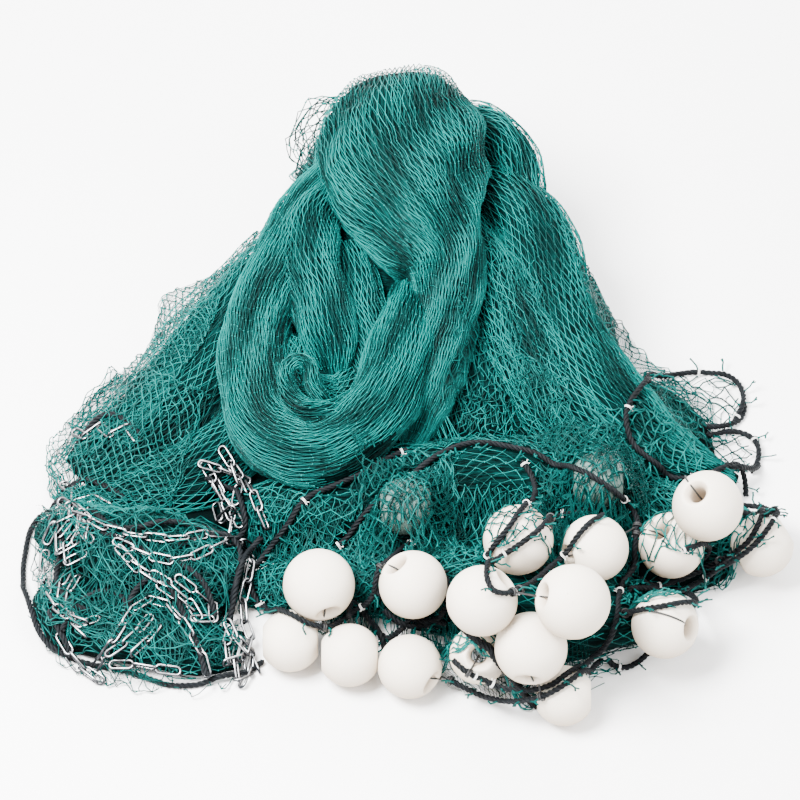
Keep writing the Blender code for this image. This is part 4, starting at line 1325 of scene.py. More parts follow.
@dataclass
class FoldSkin:
    """The smooth skin of a fold, which its twine follows.

    Attributes:
        fold: The fold.
        steps: How many rows stand in for each of its sections.
        turns: How many places the way round it is measured at.
    """

    fold: Fold
    steps: int = 10
    turns: int = 64

    def __post_init__(self) -> None:
        """Work out the tables of its rows."""
        rows = smooth_table(np.array(self.fold.rows) / TABLE_UNITS, self.steps)
        self.centres = rows[:, :3] - np.array(HEAP_CENTRE)
        along = unit(np.gradient(self.centres, axis=0))
        self.side = unit(np.cross(along, (0.0, 0.0, 1.0)))
        self.up = unit(np.cross(self.side, along))
        self.halves = rows[:, 3:5]
        self.phase = np.arange(len(rows)) / self.steps * (self.fold.between + 1)
        self.run = runs_along(self.centres)
        self.length = float(self.run[-1])
        angle = np.linspace(0.0, math.tau, self.turns + 1)
        self.angles = np.empty((len(rows), self.turns + 1))
        girths = []
        for index, (across, rise) in enumerate(self.halves):
            legs = np.hypot(np.diff(across * np.cos(angle)), np.diff(rise * np.sin(angle)))
            around = np.concatenate(([0.0], np.cumsum(legs)))
            girths.append(around[-1])
            self.angles[index] = np.interp(np.linspace(0.0, around[-1], self.turns + 1), around, angle)
        self.girth = float(np.mean(girths))

    def at(self, run: Array, share: Array, out: Array) -> tuple[Array, Array]:
        """Return points on the skin.

        Args:
            run: How far along the fold each is.
            share: What share of the way round it is.
            out: How far outside the skin.

        Returns:
            The points, and how near a pleat's crest each lies, from -1 to 1.
        """
        row = np.interp(run, self.run, np.arange(len(self.run)))
        low = np.minimum(row.astype(int), len(self.run) - 2)
        part = (row - low)[:, None]
        turn = (share % 1.0) * self.turns
        left = np.minimum(turn.astype(int), self.turns - 1)
        rest = turn - left

        def between(table: Array) -> Array:
            """Return a table's rows at the places wanted."""
            return table[low] * (1.0 - part) + table[low + 1] * part

        start, end = (
            self.angles[row, left] * (1.0 - rest) + self.angles[row, left + 1] * rest
            for row in (low, low + 1)
        )
        angle = start * (1.0 - part[:, 0]) + end * part[:, 0]
        halves = between(self.halves)
        phase = between(self.phase[:, None])[:, 0]
        crest = np.cos(self.fold.pleats * angle + phase)
        swell = 1.0 + self.fold.pleat_depth * crest
        cosine = np.cos(angle)[:, None]
        sine = np.sin(angle)[:, None]
        side = unit(between(self.side))
        up = unit(between(self.up))
        across = (halves[:, 0] * swell)[:, None]
        rise = (halves[:, 1] * swell)[:, None]
        outward = unit(side * cosine * rise + up * sine * across)
        points = between(self.centres) + side * across * cosine + up * rise * sine
        return points + outward * out[:, None], crest

    def twist(self, run: Array) -> Array:
        """Return how far round the twine has turned along the fold; it turns less towards the end.

        Args:
            run: How far along the fold, from 0 to 1.

        Returns:
            The turn at each place.
        """
        share = np.linspace(0.0, 1.0, 64)
        ease = np.clip((0.72 - share) / 0.30, 0.0, 1.0)
        rate = self.fold.wrap * ease * ease * (3.0 - 2.0 * ease)
        turned = np.cumsum(rate) * (self.length / 64.0) / math.tau
        return np.interp(run / self.length, share, turned - turned[20])


@dataclass
class Netting:
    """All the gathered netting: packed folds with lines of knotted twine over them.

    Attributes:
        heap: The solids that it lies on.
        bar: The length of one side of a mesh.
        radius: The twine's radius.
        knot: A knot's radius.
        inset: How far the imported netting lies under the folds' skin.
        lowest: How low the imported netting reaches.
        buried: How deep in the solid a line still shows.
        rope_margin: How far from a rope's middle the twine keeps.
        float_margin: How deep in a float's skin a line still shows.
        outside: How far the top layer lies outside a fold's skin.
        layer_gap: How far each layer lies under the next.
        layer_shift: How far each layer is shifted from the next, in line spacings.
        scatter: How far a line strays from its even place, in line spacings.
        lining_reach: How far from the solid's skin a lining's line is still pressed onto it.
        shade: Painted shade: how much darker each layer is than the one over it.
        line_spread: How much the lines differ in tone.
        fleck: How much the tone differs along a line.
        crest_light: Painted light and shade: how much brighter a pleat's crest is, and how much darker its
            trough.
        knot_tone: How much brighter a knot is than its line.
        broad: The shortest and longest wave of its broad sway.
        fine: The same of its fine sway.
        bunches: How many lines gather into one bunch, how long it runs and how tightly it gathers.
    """

    heap: Heap
    bar: float = 0.0125
    radius: float = 0.00047
    knot: float = 0.00100
    inset: float = 0.0035
    lowest: float = 0.0006
    buried: float = 0.0035
    rope_margin: float = 0.0044
    float_margin: float = 0.0015
    outside: float = 0.0010
    layer_gap: float = 0.0022
    layer_shift: float = 0.37
    scatter: float = 0.05
    lining_reach: float = 0.020
    shade: float = 0.24
    line_spread: float = 0.20
    fleck: float = 0.05
    crest_light: float = 0.25
    knot_tone: float = 0.22
    broad: tuple[float, float] = (0.030, 0.140)
    fine: tuple[float, float] = (0.016, 0.040)
    bunches: tuple[tuple[float, ...], ...] = ((4.0, 0.11, 0.06), (9.0, 0.19, 0.20), (21.0, 0.33, 0.50))

    def packed(
        self, skins: Sequence[FoldSkin], mounds: Sequence[tuple], material: Material
    ) -> None:
        """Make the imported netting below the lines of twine.

        Args:
            skins: The folds' skins.
            mounds: The rows of MOUNDS.
            material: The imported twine.
        """
        bm = bmesh.new()
        for skin in skins:
            if skin.fold.packed:
                self._packed_fold(bm, skin)
        for mound in mounds:
            self._packed_mound(bm, mound)
        name = "packed_netting"
        add_piece(name, smooth_mesh(name, bm), material, ("netting",))

    def _packed_fold(self, bm: BMesh, skin: FoldSkin) -> None:
        """Add one fold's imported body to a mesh.

        Args:
            bm: The mesh that it is added to.
            skin: The fold's skin.
        """
        rows = max(8, int(skin.length / 0.011))
        around = max(12, int(skin.girth / 0.010))
        made = flat_grid(bm, (rows, around), (skin.length, skin.girth))
        flat = np.array([vert.co[:] for vert in made]) + 0.5
        run = np.clip(flat[:, 0], 0.0, 1.0) * skin.length
        share = np.clip(flat[:, 1], 0.0, 1.0)
        points, _ = skin.at(run, share, np.full(len(run), -self.inset))
        points += Sway(7, 0.030, 0.090).at(points) * 0.0012
        points[:, 2] = np.maximum(points[:, 2], self.lowest)
        faces = once_each(face for vert in made for face in vert.link_faces)
        for vert, point in zip(made, points):
            vert.co = point
        bmesh.ops.remove_doubles(bm, verts=made, dist=1e-5)
        alive = once_each(vert for face in faces if face.is_valid for vert in face.verts)
        open_edges = once_each(edge for vert in alive for edge in vert.link_edges if edge.is_boundary)
        bmesh.ops.holes_fill(bm, edges=open_edges, sides=0)
        bmesh.ops.recalc_face_normals(bm, faces=[face for face in faces if face.is_valid])

    def _packed_mound(self, bm: BMesh, mound: tuple[float, ...]) -> None:
        """Add a mound of packed netting under the folds.

        Args:
            bm: The mesh that it is added to.
            mound: Its place and sizes.
        """
        x, y, wide, deep, high = (part / TABLE_UNITS for part in mound)
        place = Matrix.Translation(Vector((x, y, 0.0)) - HEAP_CENTRE)
        size = Matrix.Diagonal((wide - self.inset, deep - self.inset, high - self.inset, 1.0))
        made = bmesh.ops.create_uvsphere(
            bm, u_segments=36, v_segments=18, radius=1.0, matrix=place @ size, calc_uvs=True
        )["verts"]
        for vert in made:
            vert.co.z = max(vert.co.z, self.lowest)

    def lines(self, skin: FoldSkin, strands: Strands, lining: bool = False, reach: float = 0.016) -> None:
        """Lay a fold's lines of twine: neighbours meet at knots, row by row.

        Args:
            skin: The fold's skin.
            strands: What takes the lines.
            lining: Whether the lines are pressed onto the solid's own skin.
            reach: How far above the solid a line still shows.
        """
        fold = skin.fold
        seed = sum(map(ord, fold.name))
        luck = np.random.default_rng(seed)
        step = self.bar * fold.hang.value
        rows = max(2, int(skin.length / step))
        for layer in range(fold.layers):
            places = np.arange(2 * rows + 1) * (step / 2.0)
            numbers = np.arange(fold.lines)
            run, line = np.meshgrid(places, numbers)
            index = np.meshgrid(np.arange(len(places)), numbers)[0]
            knot = index % 2 == 0
            zig = np.where((index // 2 + line) % 2 == 0, 0.5, -0.5)
            zig = np.where(knot, zig, 0.0)
            loose = luck.normal(0.0, self.scatter, run.shape)
            bunch = self._bunching(line, run, fold.lines, seed + 5 * layer)
            share = (line + zig * fold.hang.spread + loose + bunch + self.layer_shift * layer) / fold.lines
            wave = 0.006 * np.sin(share * math.tau * 2.0 + layer * 2.1)
            wave += 0.003 * np.sin(share * math.tau * 7.0)
            run = np.clip(run + wave + step * 0.3 * layer, 0.0, skin.length)
            share = share + skin.twist(run)
            shape = run.shape
            under = fold.layers - 1 - layer
            out = self.outside - self.layer_gap * under + luck.normal(0.0, 0.0003, shape)
            points, crest = skin.at(run.ravel(), share.ravel(), out.ravel())
            crest = crest.reshape(shape)
            broad = Sway(11 + 13 * layer + fold.lines, *self.broad).at(points)
            fine = Sway(5 + 17 * layer + fold.lines, *self.fine).at(points)
            points = points + (broad * fold.ruffle + fine * fold.ruffle * 0.16)
            if lining:
                points, gaps = self.heap.snapped(points, self.outside + 0.0012 * layer)
                points[gaps > self.lining_reach, 2] = -1.0
            own = self.line_spread * luck.normal(size=(fold.lines, 1)).clip(-1.6, 1.6)
            # Painted shade: each layer under the top one is darker.
            tone = np.broadcast_to(fold.hang.tone - self.shade * under + own, shape)
            # Painted light and shade: a pleat's crest is brighter and its trough darker.
            tone = tone + luck.normal(0.0, self.fleck, shape) + self.crest_light * crest
            self._keep(strands, points, tone, knot, run, under, reach)

    def _bunching(self, line: Array, run: Array, lines: int, seed: int) -> Array:
        """Return how far lines gather towards each other.

        Args:
            line: Each point's line, by its number.
            run: How far along the fold each point is.
            lines: How many lines there are.
            seed: The seed of the disorder.

        Returns:
            The shift of each point, in line spacings.
        """
        luck = np.random.default_rng(seed)
        total = np.zeros(line.shape)
        for width, length, strength in self.bunches:
            waves = max(1, round(lines / width))
            start, drift = luck.uniform(0.0, math.tau, 2)
            bend = 1.2 * np.sin(run * math.tau / length + drift)
            total += strength * np.sin(line * math.tau * waves / lines + start + bend)
        return total

    def _keep(
        self, strands: Strands, points: Array, tone: Array, knot: Array, run: Array, under: int, reach: float
    ) -> None:
        """Keep the stretches of twine that show.

        Args:
            strands: What takes them.
            points: Every point, line by line.
            tone: Each point's brightness.
            knot: Which points are knots, with a row for each line.
            run: How far along the fold each point is.
            under: How many layers lie over this one.
            reach: How far above the solid a line still shows.
        """
        shows = points[:, 2] > 0.0004
        depth = np.full(len(points), 1.0)
        depth[shows] = self.heap.depths(points[shows])
        shows &= depth > -self.buried
        shows &= depth < reach
        shows &= self.heap.clear_of_floats(points, self.float_margin)
        shows[shows] = self.heap.clear_of_ropes(points[shows], self.rope_margin)
        grid = shows.reshape(knot.shape)
        both = grid[:, :-1] & grid[:, 1:]
        numbers = np.arange(len(points)).reshape(knot.shape)
        edges = np.stack([numbers[:, :-1][both], numbers[:, 1:][both]], axis=1)
        used = np.unique(edges)
        if not len(used):
            return
        fresh = np.full(len(points), -1)
        fresh[used] = np.arange(len(used))
        strands.add(points[used], fresh[edges], tone.ravel()[used].clip(0.0, 1.0), run.ravel()[used])
        if under == 0:
            tied = np.zeros(len(points), dtype=bool)
            tied[used] = True
            tied &= knot.ravel()
            strands.add_knots(points[tied], (tone.ravel()[tied] + self.knot_tone).clip(0.0, 1.0))


@dataclass(frozen=True)
class Plan:
    """A single layer of open netting that lies over the heap.

    Attributes:
        name: The veil's name.
        meshes: How many meshes it has across and along.
        lift: How far it lies above what carries it.
        ruffle: How far its meshes stray.
        over: The floats that it lies over; it passes under the others.
        places: Rows of places on the floor, from back to front, that it spans, in millimetres.
        tone: Its twine's brightness, lower as painted shade for netting that lies under more.
        ceiling: How high it goes before it is tucked away.
        crosses: Whether it lies across ropes and chain instead of under them.
        taut: How far it bridges hollows instead of following them.
    """

    name: str
    meshes: tuple[int, int]
    lift: float
    ruffle: float
    over: tuple[str, ...]
    places: tuple[tuple[tuple[int, int], ...], ...]
    tone: float = 0.62
    ceiling: float = 0.40
    crosses: bool = False
    taut: int = 7


@dataclass
class Veil:
    """One open layer of netting, draped over the solids by relaxing its heights.

    Attributes:
        plan: Where it lies.
        heap: The solids that it lies on.
        smoothing: How many rows stand in for each row of the plan's places.
        knot_slack: How far a knot strays.
        bar_slack: How far the middle of a bar strays.
        spread: How much its bars differ in tone.
        float_margin: How deep in a float's skin it still shows.
        rope_margin: How far from a rope's middle it keeps.
    """

    plan: Plan
    heap: Heap
    smoothing: int = 12
    knot_slack: float = 0.0006
    bar_slack: float = 0.0018
    spread: float = 0.16
    float_margin: float = 0.0010
    rope_margin: float = 0.0042

    def __post_init__(self) -> None:
        """Settle the grid of its points, two for each bar."""
        across, along = self.plan.meshes
        table = from_table(self.plan.places)
        rows = smooth_table(table.reshape(len(table), -1), self.smoothing).reshape(-1, table.shape[1], 2)
        rows = np.stack([smooth_table(row, self.smoothing) for row in rows])
        down = np.linspace(0.0, len(rows) - 1.0, 4 * along + 1)
        over = np.linspace(0.0, rows.shape[1] - 1.0, 4 * across + 1)
        first = np.minimum(down.astype(int), len(rows) - 2)
        second = np.minimum(over.astype(int), rows.shape[1] - 2)
        a = (down - first)[:, None, None]
        b = (over - second)[None, :, None]
        upper = rows[first][:, second] * (1 - b) + rows[first][:, second + 1] * b
        lower = rows[first + 1][:, second] * (1 - b) + rows[first + 1][:, second + 1] * b
        plan = upper * (1 - a) + lower * a
        spot = np.concatenate([plan, np.zeros((*plan.shape[:2], 1))], axis=2).reshape(-1, 3)
        stray = Sway(len(self.plan.name) + across, 0.016, 0.070).at(spot) * self.plan.ruffle
        spot[:, :2] += stray[:, :2]
        heights = [self.heap.top(x, y, self.plan.over) for x, y, _ in spot]
        floor = np.array(heights).reshape(plan.shape[:2]) + self.plan.lift
        high = floor.copy()
        for _ in range(self.plan.taut):
            padded = np.pad(high, 1, mode="edge")
            mean = (padded[:-2, 1:-1] + padded[2:, 1:-1] + padded[1:-1, :-2] + padded[1:-1, 2:]) / 4.0
            high = np.maximum(floor, mean)
        spot[:, 2] = high.ravel() + np.abs(stray[:, 2]) * 0.5
        self.grid = spot.reshape(*plan.shape[:2], 3)

    def clear(self, points: Array) -> Array:
        """Return which points lie in no float or rope and not above the ceiling.

        Args:
            points: The points, a row each.

        Returns:
            True for each point that is clear.
        """
        clear = self.heap.clear_of_floats(points, self.float_margin) & (points[:, 2] < self.plan.ceiling)
        if not self.plan.crosses:
            clear &= self.heap.clear_of_ropes(points, self.rope_margin)
        return clear

    def knit(self, strands: Strands) -> None:
        """Knit the veil's bars and knots.

        Args:
            strands: What takes them.
        """
        luck = np.random.default_rng(len(self.plan.name))
        grid = self.grid
        down, over = grid.shape[:2]
        numbers = np.arange(down * over).reshape(down, over)
        rows, columns = np.meshgrid(np.arange(down), np.arange(over), indexing="ij")
        knot = (rows % 2 == 0) & (columns % 2 == 0) & ((rows // 2 + columns // 2) % 2 == 0)
        slack = np.where(knot, self.knot_slack, self.bar_slack)[:, :, None]
        bend = Sway(3 + len(self.plan.name), 0.010, 0.050).at(grid.reshape(-1, 3)).reshape(grid.shape)
        points = grid + bend * slack + luck.normal(size=grid.shape) * slack * 0.2
        edges = []
        for row, column in zip(*np.nonzero(knot)):
            for sign in (-1, 1):
                if row + 2 < down and 0 <= column + 2 * sign < over:
                    middle = numbers[row + 1, column + sign]
                    edges.append((numbers[row, column], middle))
                    edges.append((middle, numbers[row + 2, column + 2 * sign]))
        for rim in (numbers[0], numbers[-1], numbers[:, 0], numbers[:, -1]):
            edges.extend(zip(rim[:-1], rim[1:]))
        points = points.reshape(-1, 3)
        clear = self.clear(points)
        edges = np.array(edges)
        edges = edges[clear[edges].all(axis=1)]
        used, fresh = np.unique(edges, return_inverse=True)
        tone = self.plan.tone + self.spread * luck.normal(size=len(points)).clip(-1.5, 1.5)
        strands.add(points[used], fresh.reshape(-1, 2), tone[used].clip(0.0, 1.0), np.zeros(len(used)))
        tied = knot.ravel() & clear
        strands.add_knots(points[tied], tone[tied].clip(0.0, 1.0))


@dataclass
class NetSheet(Veil):
    """A thin gathered layer of netting, laid as one sheet between the knitted layers."""

    float_margin: float = 0.0004
    rope_margin: float = 0.0050

    def build(self, finish: Material) -> None:
        """Make the sheet, take out what would pass through a float, and log its flat size.

        Args:
            finish: The netting's finish.
        """
        grid = self.grid
        down, over = grid.shape[:2]
        length = float(np.linalg.norm(np.diff(grid, axis=0), axis=2).sum(axis=0).mean())
        width = float(np.linalg.norm(np.diff(grid, axis=1), axis=2).sum(axis=1).mean())
        bm = bmesh.new()
        made = flat_grid(bm, (over - 1, down - 1), (width, length))
        for vert in made:
            column = round((vert.co.x + 0.5) * (over - 1))
            row = round((vert.co.y + 0.5) * (down - 1))
            vert.co = grid[down - 1 - row, column]
        points = np.array([vert.co[:] for vert in made])
        hidden = [vert for vert, kept in zip(made, self.clear(points)) if not kept]
        bmesh.ops.delete(bm, geom=hidden, context="VERTS")
        lone = [vert for vert in bm.verts if not vert.link_faces]
        bmesh.ops.delete(bm, geom=lone, context="VERTS")
        area = sum(face.calc_area() for face in bm.faces)
        mesh = smooth_mesh(self.plan.name, bm)
        tone = mesh.attributes.new("tone", "FLOAT", "POINT")
        tone.data.foreach_set("value", np.full(len(mesh.vertices), self.plan.tone, dtype=np.float32))
        piece = add_piece(self.plan.name, mesh, finish, ("netting",))
        share = min(1.0, area / (width * length))
        share * width * length
        log.info("%s: flat %.2f by %.2f m", self.plan.name, width, length)


# The floats that lie deep in the netting.
COVERED = ("float_17", "float_18")

# Places that a knitted layer shares with the thin one under it.
LEFT_EDGE = (
    ((-154, 401), (-135, 375), (-116, 345)), ((-202, 378), (-178, 336), (-152, 301)),
    ((-270, 333), (-237, 280), (-202, 235)), ((-284, 266), (-254, 231), (-219, 190)),
    ((-325, 216), (-291, 173), (-256, 138)), ((-372, 152), (-337, 108), (-297, 75)),
)

RIGHT_EDGE = (
    ((152, 353), (170, 360), (184, 366)), ((169, 323), (187, 344), (201, 354)),
    ((174, 282), (202, 311), (220, 330)), ((190, 241), (220, 271), (241, 289)),
    ((212, 200), (241, 233), (270, 242)), ((254, 145), (291, 176), (323, 187)),
    ((273, 75), (318, 105), (349, 121)),
)

BETWEEN_FLOATS = (
    ((-128, -93), (-80, -97), (-28, -103), (25, -107), (78, -113)),
    ((-129, -111), (-80, -115), (-28, -122), (25, -127), (77, -139)),
    ((-125, -130), (-80, -138), (-28, -150), (25, -168), (77, -174)),
)

HIDDEN_FLOAT = (
    ((-58, 26), (-6, 30), (46, 34)), ((-54, -34), (4, -44), (56, -30)),
    ((-50, -92), (-4, -106), (44, -100)),
)

BACK_FLOAT = (
    ((144, 64), (200, 76), (256, 66)), ((146, -6), (208, 6), (252, 2)),
    ((150, -66), (200, -56), (246, -66)),
)

VEILS = (
    Plan("front_veil", (34, 9), 0.0026, 0.0020, COVERED, (
        ((-166, -1), (-91, 1), (-7, 31), (79, 42), (162, -2), (246, -45)),
        ((-166, -48), (-91, -43), (-7, -39), (78, -33), (161, -63), (245, -91)),
        ((-152, -113), (-80, -119), (-7, -121), (67, -108), (160, -120), (228, -143)),
    ), ceiling=0.09, taut=24),
    Plan("middle_veil", (30, 8), 0.0012, 0.0028, COVERED, (
        ((-150, 20), (-70, 20), (0, 40), (80, 50), (162, 20), (236, -15)),
        ((-140, -48), (-71, -43), (3, -29), (78, -23), (161, -43), (240, -61)),
        ((-122, -103), (-60, -109), (7, -101), (67, -88), (150, -90), (218, -103)),
    ), tone=0.4, ceiling=0.085, taut=24),
    Plan("hidden_float_under", (12, 9), 0.0014, 0.0020, ("float_17",), HIDDEN_FLOAT, tone=0.28, taut=40),
    Plan("back_float_under", (12, 9), 0.0014, 0.0020, ("float_18",), BACK_FLOAT, tone=0.28, taut=40),
    Plan("lead_veil", (16, 9), 0.0030, 0.0045, (), (
        ((-394, 31), (-326, -8), (-261, -16), (-187, -22)),
        ((-390, -39), (-323, -69), (-259, -83), (-180, -89)),
        ((-398, -100), (-324, -136), (-258, -138), (-178, -142)),
        ((-384, -158), (-318, -202), (-246, -216), (-182, -200)),
    ), tone=0.4),
    Plan("right_edge_veil", (6, 26), 0.0016, 0.003, (), RIGHT_EDGE),
    Plan("left_corner_veil", (14, 17), 0.0080, 0.0008, (), (
        ((-325, 227), (-291, 183), (-254, 148), (-218, 129)),
        ((-366, 158), (-327, 119), (-281, 88), (-232, 66)),
        ((-388, 109), (-351, 62), (-306, 40), (-246, 18)),
        ((-385, 62), (-354, 20), (-313, 1), (-257, -5)),
        ((-373, 29), (-346, 0), (-307, -11), (-262, -16)),
    ), tone=0.6, crosses=True, taut=12),
    Plan("left_edge_veil", (7, 34), 0.0016, 0.0014, (), LEFT_EDGE),
    Plan("between_floats", (24, 6), 0.0016, 0.003, (), BETWEEN_FLOATS, tone=0.45),
    Plan("lead_over_veil", (11, 6), 0.0100, 0.0040, (), (
        ((-386, 20), (-322, -14), (-258, -20), (-190, -26)),
        ((-384, -44), (-319, -74), (-255, -88), (-186, -94)),
        ((-386, -116), (-325, -160), (-254, -180), (-184, -174)),
    ), tone=0.54, crosses=True),
    Plan("lead_low_veil", (9, 6), 0.0060, 0.0035, (), (
        ((-386, -96), (-330, -128), (-270, -138)), ((-376, -134), (-322, -164), (-262, -172)),
        ((-352, -164), (-305, -190), (-250, -200)),
    ), tone=0.52, crosses=True),
    Plan("valley_veil", (15, 12), 0.0030, 0.0030, (), (
        ((60, 178), (112, 155), (168, 115)), ((45, 112), (105, 98), (172, 60)),
        ((18, 40), (90, 44), (165, 12)),
    ), tone=0.52, taut=12),
    Plan("left_corner_under", (14, 16), 0.0015, 0.0030, (), (
        ((-318, 222), (-288, 180), (-250, 144), (-212, 125)),
        ((-360, 152), (-322, 115), (-277, 84), (-228, 62)),
        ((-382, 104), (-346, 58), (-302, 36), (-242, 14)),
        ((-380, 58), (-350, 16), (-309, -3), (-253, -9)),
        ((-368, 25), (-342, -4), (-303, -15), (-258, -20)),
    ), tone=0.34),
)

# Single nets seen against the floats or the floor, with the stoutest bars.
LOOP_NETS = (
    Plan("hidden_float_veil", (11, 8), 0.0035, 0.0020, ("float_17",), (
        ((-50, 20), (0, 26), (50, 30)), ((-50, -40), (0, -40), (52, -36)),
        ((-46, -96), (2, -100), (50, -96)),
    ), tone=0.55, taut=60),
    Plan("back_float_veil", (11, 9), 0.0035, 0.0020, ("float_18",), (
        ((150, 70), (205, 70), (262, 60)), ((150, 0), (204, 0), (258, -4)),
        ((156, -60), (204, -62), (250, -60)),
    ), tone=0.55, taut=60),
    Plan("pair_veil", (9, 5), 0.0022, 0.0040, ("float_14", "float_15"), (
        ((70, -60), (120, -55), (170, -58)), ((72, -100), (118, -100), (168, -100)),
        ((78, -128), (116, -132), (160, -128)),
    ), tone=0.5),
    Plan("right_veil", (10, 9), 0.0022, 0.0030, ("float_08",), (
        ((198, 100), (251, 93), (306, 88)), ((204, -16), (264, 9), (320, 33)),
        ((212, -103), (271, -101), (317, -89)),
    )),
    Plan("loop_veil", (7, 5), 0.0022, 0.0030, ("float_07",), (
        ((332, 30), (370, 20), (396, 5)), ((330, -20), (362, -31), (384, -36)),
        ((327, -76), (352, -80), (374, -80)),
    )),
    Plan("low_veil", (12, 4), 0.0022, 0.0030, ("float_04",), (
        ((25, -160), (97, -172), (169, -186)), ((35, -196), (102, -208), (174, -214)),
        ((51, -214), (107, -228), (180, -232)),
    )),
    Plan("side_float_veil", (7, 5), 0.0022, 0.0030, ("float_06",), (
        ((235, -108), (271, -110), (305, -96)), ((236, -141), (262, -149), (300, -136)),
        ((240, -160), (256, -166), (290, -150)),
    )),
    Plan("large_loop_net", (6, 4), 0.0012, 0.0030, (), (
        ((269, 194), (303, 216), (363, 211)), ((267, 158), (312, 172), (372, 172)),
        ((271, 116), (321, 130), (363, 151)),
    ), tone=0.34),
    Plan("small_loop_net", (3, 3), 0.0012, 0.0020, (), (
        ((326, 130), (359, 135), (383, 130)), ((326, 109), (353, 109), (383, 104)),
        ((324, 83), (351, 83), (371, 84)),
    ), tone=0.34),
)

# Thin gathered layers between the knitted ones.
SHEETS = (
    Plan("lead_sheet", (9, 7), 0.0006, 0.006, (), (
        ((-400, 34), (-322, -2), (-265, -12), (-184, -18)),
        ((-394, -43), (-327, -65), (-254, -87), (-176, -85)),
        ((-390, -102), (-317, -138), (-262, -130), (-176, -144)),
        ((-368, -164), (-312, -196), (-246, -208), (-182, -200)),
    ), tone=0.34),
    Plan("front_sheet", (20, 6), 0.0005, 0.006, (), (
        ((-170, 3), (-88, 4), (-10, 34), (76, 44), (158, 2), (250, -41)),
        ((-162, -52), (-94, -40), (-3, -43), (82, -30), (158, -66), (248, -88)),
        ((-156, -117), (-76, -123), (-10, -125), (70, -112), (156, -124), (232, -147)),
    ), tone=0.34, ceiling=0.085),
    Plan("hidden_float_sheet", (7, 6), 0.001, 0.004, ("float_17",), (
        ((-46, 34), (6, 22), (54, 26)), ((-46, -46), (-4, -36), (48, -42)),
        ((-40, -100), (8, -94), (56, -90)),
    ), tone=0.26, taut=40),
    Plan("hidden_float_fold", (7, 6), 0.0032, 0.006, ("float_17",), HIDDEN_FLOAT, tone=0.34, taut=40),
    Plan("back_float_sheet", (7, 6), 0.001, 0.004, ("float_18",), (
        ((156, 76), (210, 64), (268, 54)), ((154, 6), (200, -6), (264, -10)),
        ((162, -54), (208, -68), (256, -54)),
    ), tone=0.26, taut=40),
    Plan("back_float_fold", (7, 6), 0.0032, 0.006, ("float_18",), BACK_FLOAT, tone=0.34, taut=40),
    Plan("left_edge_sheet", (4, 16), 0.0006, 0.002, (), LEFT_EDGE, tone=0.42),
    Plan("right_edge_sheet", (3, 14), 0.0006, 0.002, (), RIGHT_EDGE, tone=0.45),
    Plan("low_sheet", (10, 5), 0.0006, 0.003, (), (
        ((-20, -146), (85, -158), (188, -172)), ((20, -182), (98, -200), (192, -206)),
        ((50, -210), (108, -226), (188, -226)),
    ), tone=0.34),
    Plan("between_sheet", (12, 4), 0.0005, 0.0030, (), BETWEEN_FLOATS, tone=0.3),
)


# ---- floats, ropes and chain


@dataclass
class BallFloats:
    """The moulded floats, each turned about its bore, with flared mouths.

    Attributes:
        heap: The solids, which say where the floats lie.
        bore: The bore's diameter.
        mouth: A mouth's diameter.
        flare: How deep a mouth's flare goes.
        straight: How deep below the mouth the bore's straight part ends.
        arc: How many points round off one half of the ball.
        steps: How many sides the ball has round its bore.
    """

    heap: Heap
    bore: float = 0.0170
    mouth: float = 0.0290
    flare: float = 0.009
    straight: float = 0.013
    arc: int = 15
    steps: int = 32

    def outline(self, radius: float) -> list[tuple[float, float, float]]:
        """Return a float's outline as (distance from the bore's line, height, how far inside the mouth).

        Args:
            radius: The ball's radius.

        Returns:
            The outline's points, from the middle of the bore out over one half of the ball.
        """
        mouth = self.mouth / 2.0
        bore = self.bore / 2.0
        top = math.sqrt(radius**2 - mouth**2)
        points = [(bore, 0.0, 1.0), (bore, top - self.straight, 1.0), (bore + 0.0004, top - self.flare, 1.0)]
        for share in (0.35, 0.6, 0.8, 0.93):
            across = bore + (mouth - bore) * share**1.6
            points.append((across, top - self.flare * (1.0 - share) ** 1.2, 1.0 - 0.5 * share))
        points.append((mouth, top - 0.0004, 0.25))
        first = math.asin((mouth + 0.0008) / radius)
        for index in range(self.arc):
            angle = first + (math.pi / 2.0 - first) * index / (self.arc - 1.0)
            points.append((radius * math.sin(angle), radius * math.cos(angle), 0.0))
        return points

    def build(self, finish: Material, shadowed: Material) -> None:
        """Build every float.

        Args:
            finish: The foam.
            shadowed: The foam of floats that lie deep in the netting, painted darker and greener for the
                shade of the netting over them.
        """
        for ball in self.heap.balls:
            bm = bmesh.new()
            inside = bm.verts.layers.float.new("mouth")
            half = self.outline(ball.diameter / 2.0)
            whole = half + [(across, -height, deep) for across, height, deep in reversed(half[1:-1])]
            chain = []
            for across, height, deep in whole:
                vert = bm.verts.new((across, 0.0, height))
                vert[inside] = deep
                chain.append(vert)
            edges = [bm.edges.new(pair) for pair in zip(chain, chain[1:] + chain[:1])]
            bmesh.ops.spin(
                bm, geom=chain + edges, cent=(0.0, 0.0, 0.0), axis=UP, angle=math.tau,
                steps=self.steps, use_merge=True,
            )
            bmesh.ops.remove_doubles(bm, verts=bm.verts, dist=1e-6)
            bmesh.ops.recalc_face_normals(bm, faces=bm.faces)
            turn = UP.rotation_difference(Vector(ball.axis)).to_matrix().to_4x4()
            bmesh.ops.transform(bm, matrix=Matrix.Translation(Vector(ball.centre)) @ turn, verts=bm.verts)
            name = ball.name.replace("float_", "foam_float_")
            # Floats deep in the netting take the foam painted with the netting's shade.
            foam = shadowed if ball.name in COVERED else finish
            add_piece(name, smooth_mesh(name, bm), foam, (ball.name,))


@dataclass(frozen=True)
class Run:
    """A short run of chain or rope that lies loose on the netting.

    Attributes:
        name: The run's name.
        places: Its places on the floor, in millimetres.
        over: The floats that it lies over.
        sunk: How far it sinks into the netting.
        doubled: Whether a chain has a second one beside it.
    """

    name: str
    places: tuple[tuple[int, int], ...]
    over: tuple[str, ...] = ()
    sunk: float = 0.0
    doubled: bool = True


